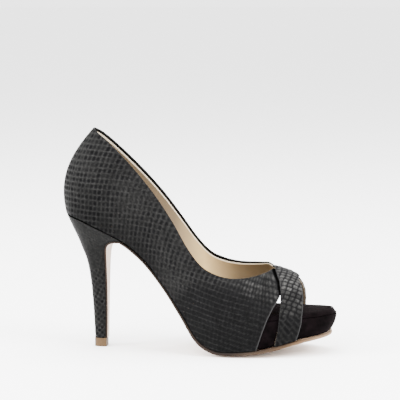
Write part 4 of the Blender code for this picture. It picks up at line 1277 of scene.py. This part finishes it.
# Painted highlight on the lining's top edge below the topline.
lining_top_highlight = Finish("painted_lining_highlight", (0.66, 0.56, 0.42), 0.6)

# %% [markdown]
# Suede is a nap of fine fibres. It looks nearly black here with a warm cast. It gets a little
# sheen, a mottled colour where the nap lies in different ways, and no gloss at all.

# %% Black suede
suede = Finish("black_suede", (0.004, 0.003, 0.0032), 0.95, 0.015)
suede.shader.inputs["Sheen Weight"].default_value = 0.008
suede.shader.inputs["Sheen Roughness"].default_value = 0.5
suede.shader.inputs["Sheen Tint"].default_value = (0.6, 0.42, 0.46, 1)
suede.paint(suede.mottle(150, 4, (0.0004, 0.0003, 0.0003), (0.0026, 0.0016, 0.0019)))
suede.bump(5200, 2, 0.5, 0.00012)

# %% [markdown]
# The sole is vegetable-tanned leather. Its cut edge is stained a darker brown, paler towards the
# toe and darker at the top of the edge than at its foot, and its underside and the flap on the heel
# keep the natural pale skin.

# %% Sole leather, its stained edge and the top piece
pale_leather = Finish("pale_sole_leather", (0.52, 0.42, 0.34), 0.5)
pale_leather.paint(pale_leather.mottle(70, 4, (0.36, 0.26, 0.19), (0.43, 0.32, 0.24)))
pale_leather.bump(1800, 4, 0.15, 0.0001)
edge_leather = Finish("stained_sole_edge", (0.08, 0.05, 0.034), 0.7, 0.1)
stain = edge_leather.ramp(edge_leather.forward(0.0, 0.09), [
    (0.1, (0.012, 0.007, 0.0045)), (0.3, (0.008, 0.0042, 0.0028)), (0.47, (0.029, 0.018, 0.0115)),
    (0.76, (0.038, 0.021, 0.0105)), (0.89, (0.085, 0.048, 0.024)), (1.0, (0.135, 0.085, 0.05))])
rim_by_depth = edge_leather.ramp(edge_leather.relief()[0], [(0.0, (0.35,)), (0.5, (0.9,)), (1.0, (1.3,))])
edge_leather.paint(edge_leather.toned(stain, rim_by_depth))
tip_rubber = Finish("tan_tip_rubber", (0.25, 0.17, 0.085), 0.55, 0.2)
tip_rubber.paint(tip_rubber.mottle(260, 3, (0.045, 0.024, 0.0085), (0.063, 0.035, 0.0125)))
tip_rubber.bump(2500, 2, 0.2, 0.0001)

# %% Dress the pieces
# The bands' second slot holds the painted shadow's black, the linings' the painted highlight on their top
# edge.
for piece in (under_band, over_band):
    piece.data.materials[0] = scale_leather.material
    piece.data.materials[1] = painted_shadow_black.material
dress(heel, scale_leather)
for piece in (under_lining, over_lining):
    piece.data.materials[0] = lining_leather.material
    piece.data.materials[1] = lining_top_highlight.material
dress(sock, sock_leather)
for piece in (platform, footbed):
    dress(piece, suede)
    only(piece)
    smoothed()
outsole.data.materials[0] = pale_leather.material
outsole.data.materials[1] = edge_leather.material
dress(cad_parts["top_piece"], tip_rubber)

# %% [markdown]
# The camera stands where the photographer stood: a little above the floor and a little towards the
# toe, one and a half metres away, with a long lens.

# %% Camera
CAMERA_TARGET = np.array((103.4 * MM, 0.0, 112.5 * MM)) + SHIFT
CAMERA_AZIMUTH = math.radians(8)
CAMERA_ELEVATION = math.radians(6.3)
CAMERA_DISTANCE = 1.5
toward = Vector((math.sin(CAMERA_AZIMUTH) * math.cos(CAMERA_ELEVATION),
                 -math.cos(CAMERA_AZIMUTH) * math.cos(CAMERA_ELEVATION), math.sin(CAMERA_ELEVATION)))
bpy.ops.object.select_all(action="DESELECT")
bpy.ops.object.camera_add(location=Vector(CAMERA_TARGET) + toward * CAMERA_DISTANCE)
camera = bpy.context.object
camera.rotation_euler = toward.to_track_quat("Z", "Y").to_euler()
camera.data.lens = 180
camera.data.sensor_width = 36
camera.data.clip_end = 20
bpy.context.scene.camera = camera

# %% [markdown]
# The shoe was photographed on white, under big soft lights. The world gives even white light, and
# large area lights on the camera's side, at the toe, at the heel and above model the form.

# %% Floor and lights
bpy.ops.object.select_all(action="DESELECT")
bpy.ops.mesh.primitive_plane_add(size=60, location=(0, 20, 0))
floor = bpy.context.object
floor.name = "studio_floor"
floor_paint = bpy.data.materials.new("studio_floor_white")
floor_paint.use_nodes = True
floor_shader = floor_paint.node_tree.nodes["Principled BSDF"]
floor_shader.inputs["Base Color"].default_value = (0.95, 0.95, 0.95, 1)
floor_shader.inputs["Roughness"].default_value = 0.6
floor.data.materials.append(floor_paint)


def softbox(name, place, aim, size, power):
    """A square area light that faces a point."""
    bpy.ops.object.light_add(type="AREA", location=place)
    light = bpy.context.object
    light.name = name
    light.data.size = size
    light.data.energy = power
    light.rotation_euler = (Vector(place) - Vector(aim)).to_track_quat("Z", "Y").to_euler()
    return light


softbox("key_softbox", (-0.3, -1.2, 1.5), (0, 0, 0.06), 0.9, 44)
softbox("toe_softbox", (1.2, -0.5, 1.1), (0, 0, 0.06), 0.8, 66)
softbox("top_softbox", (0.0, 0.2, 1.7), (0, 0, 0.06), 1.2, 80)
softbox("back_softbox", (-1.3, -0.6, 0.8), (0, 0, 0.08), 0.7, 60)
world = bpy.data.worlds.new("studio_world")
bpy.context.scene.world = world
world.use_nodes = True
world.node_tree.nodes["Background"].inputs["Color"].default_value = (1, 1, 1, 1)
world.node_tree.nodes["Background"].inputs["Strength"].default_value = 3.3
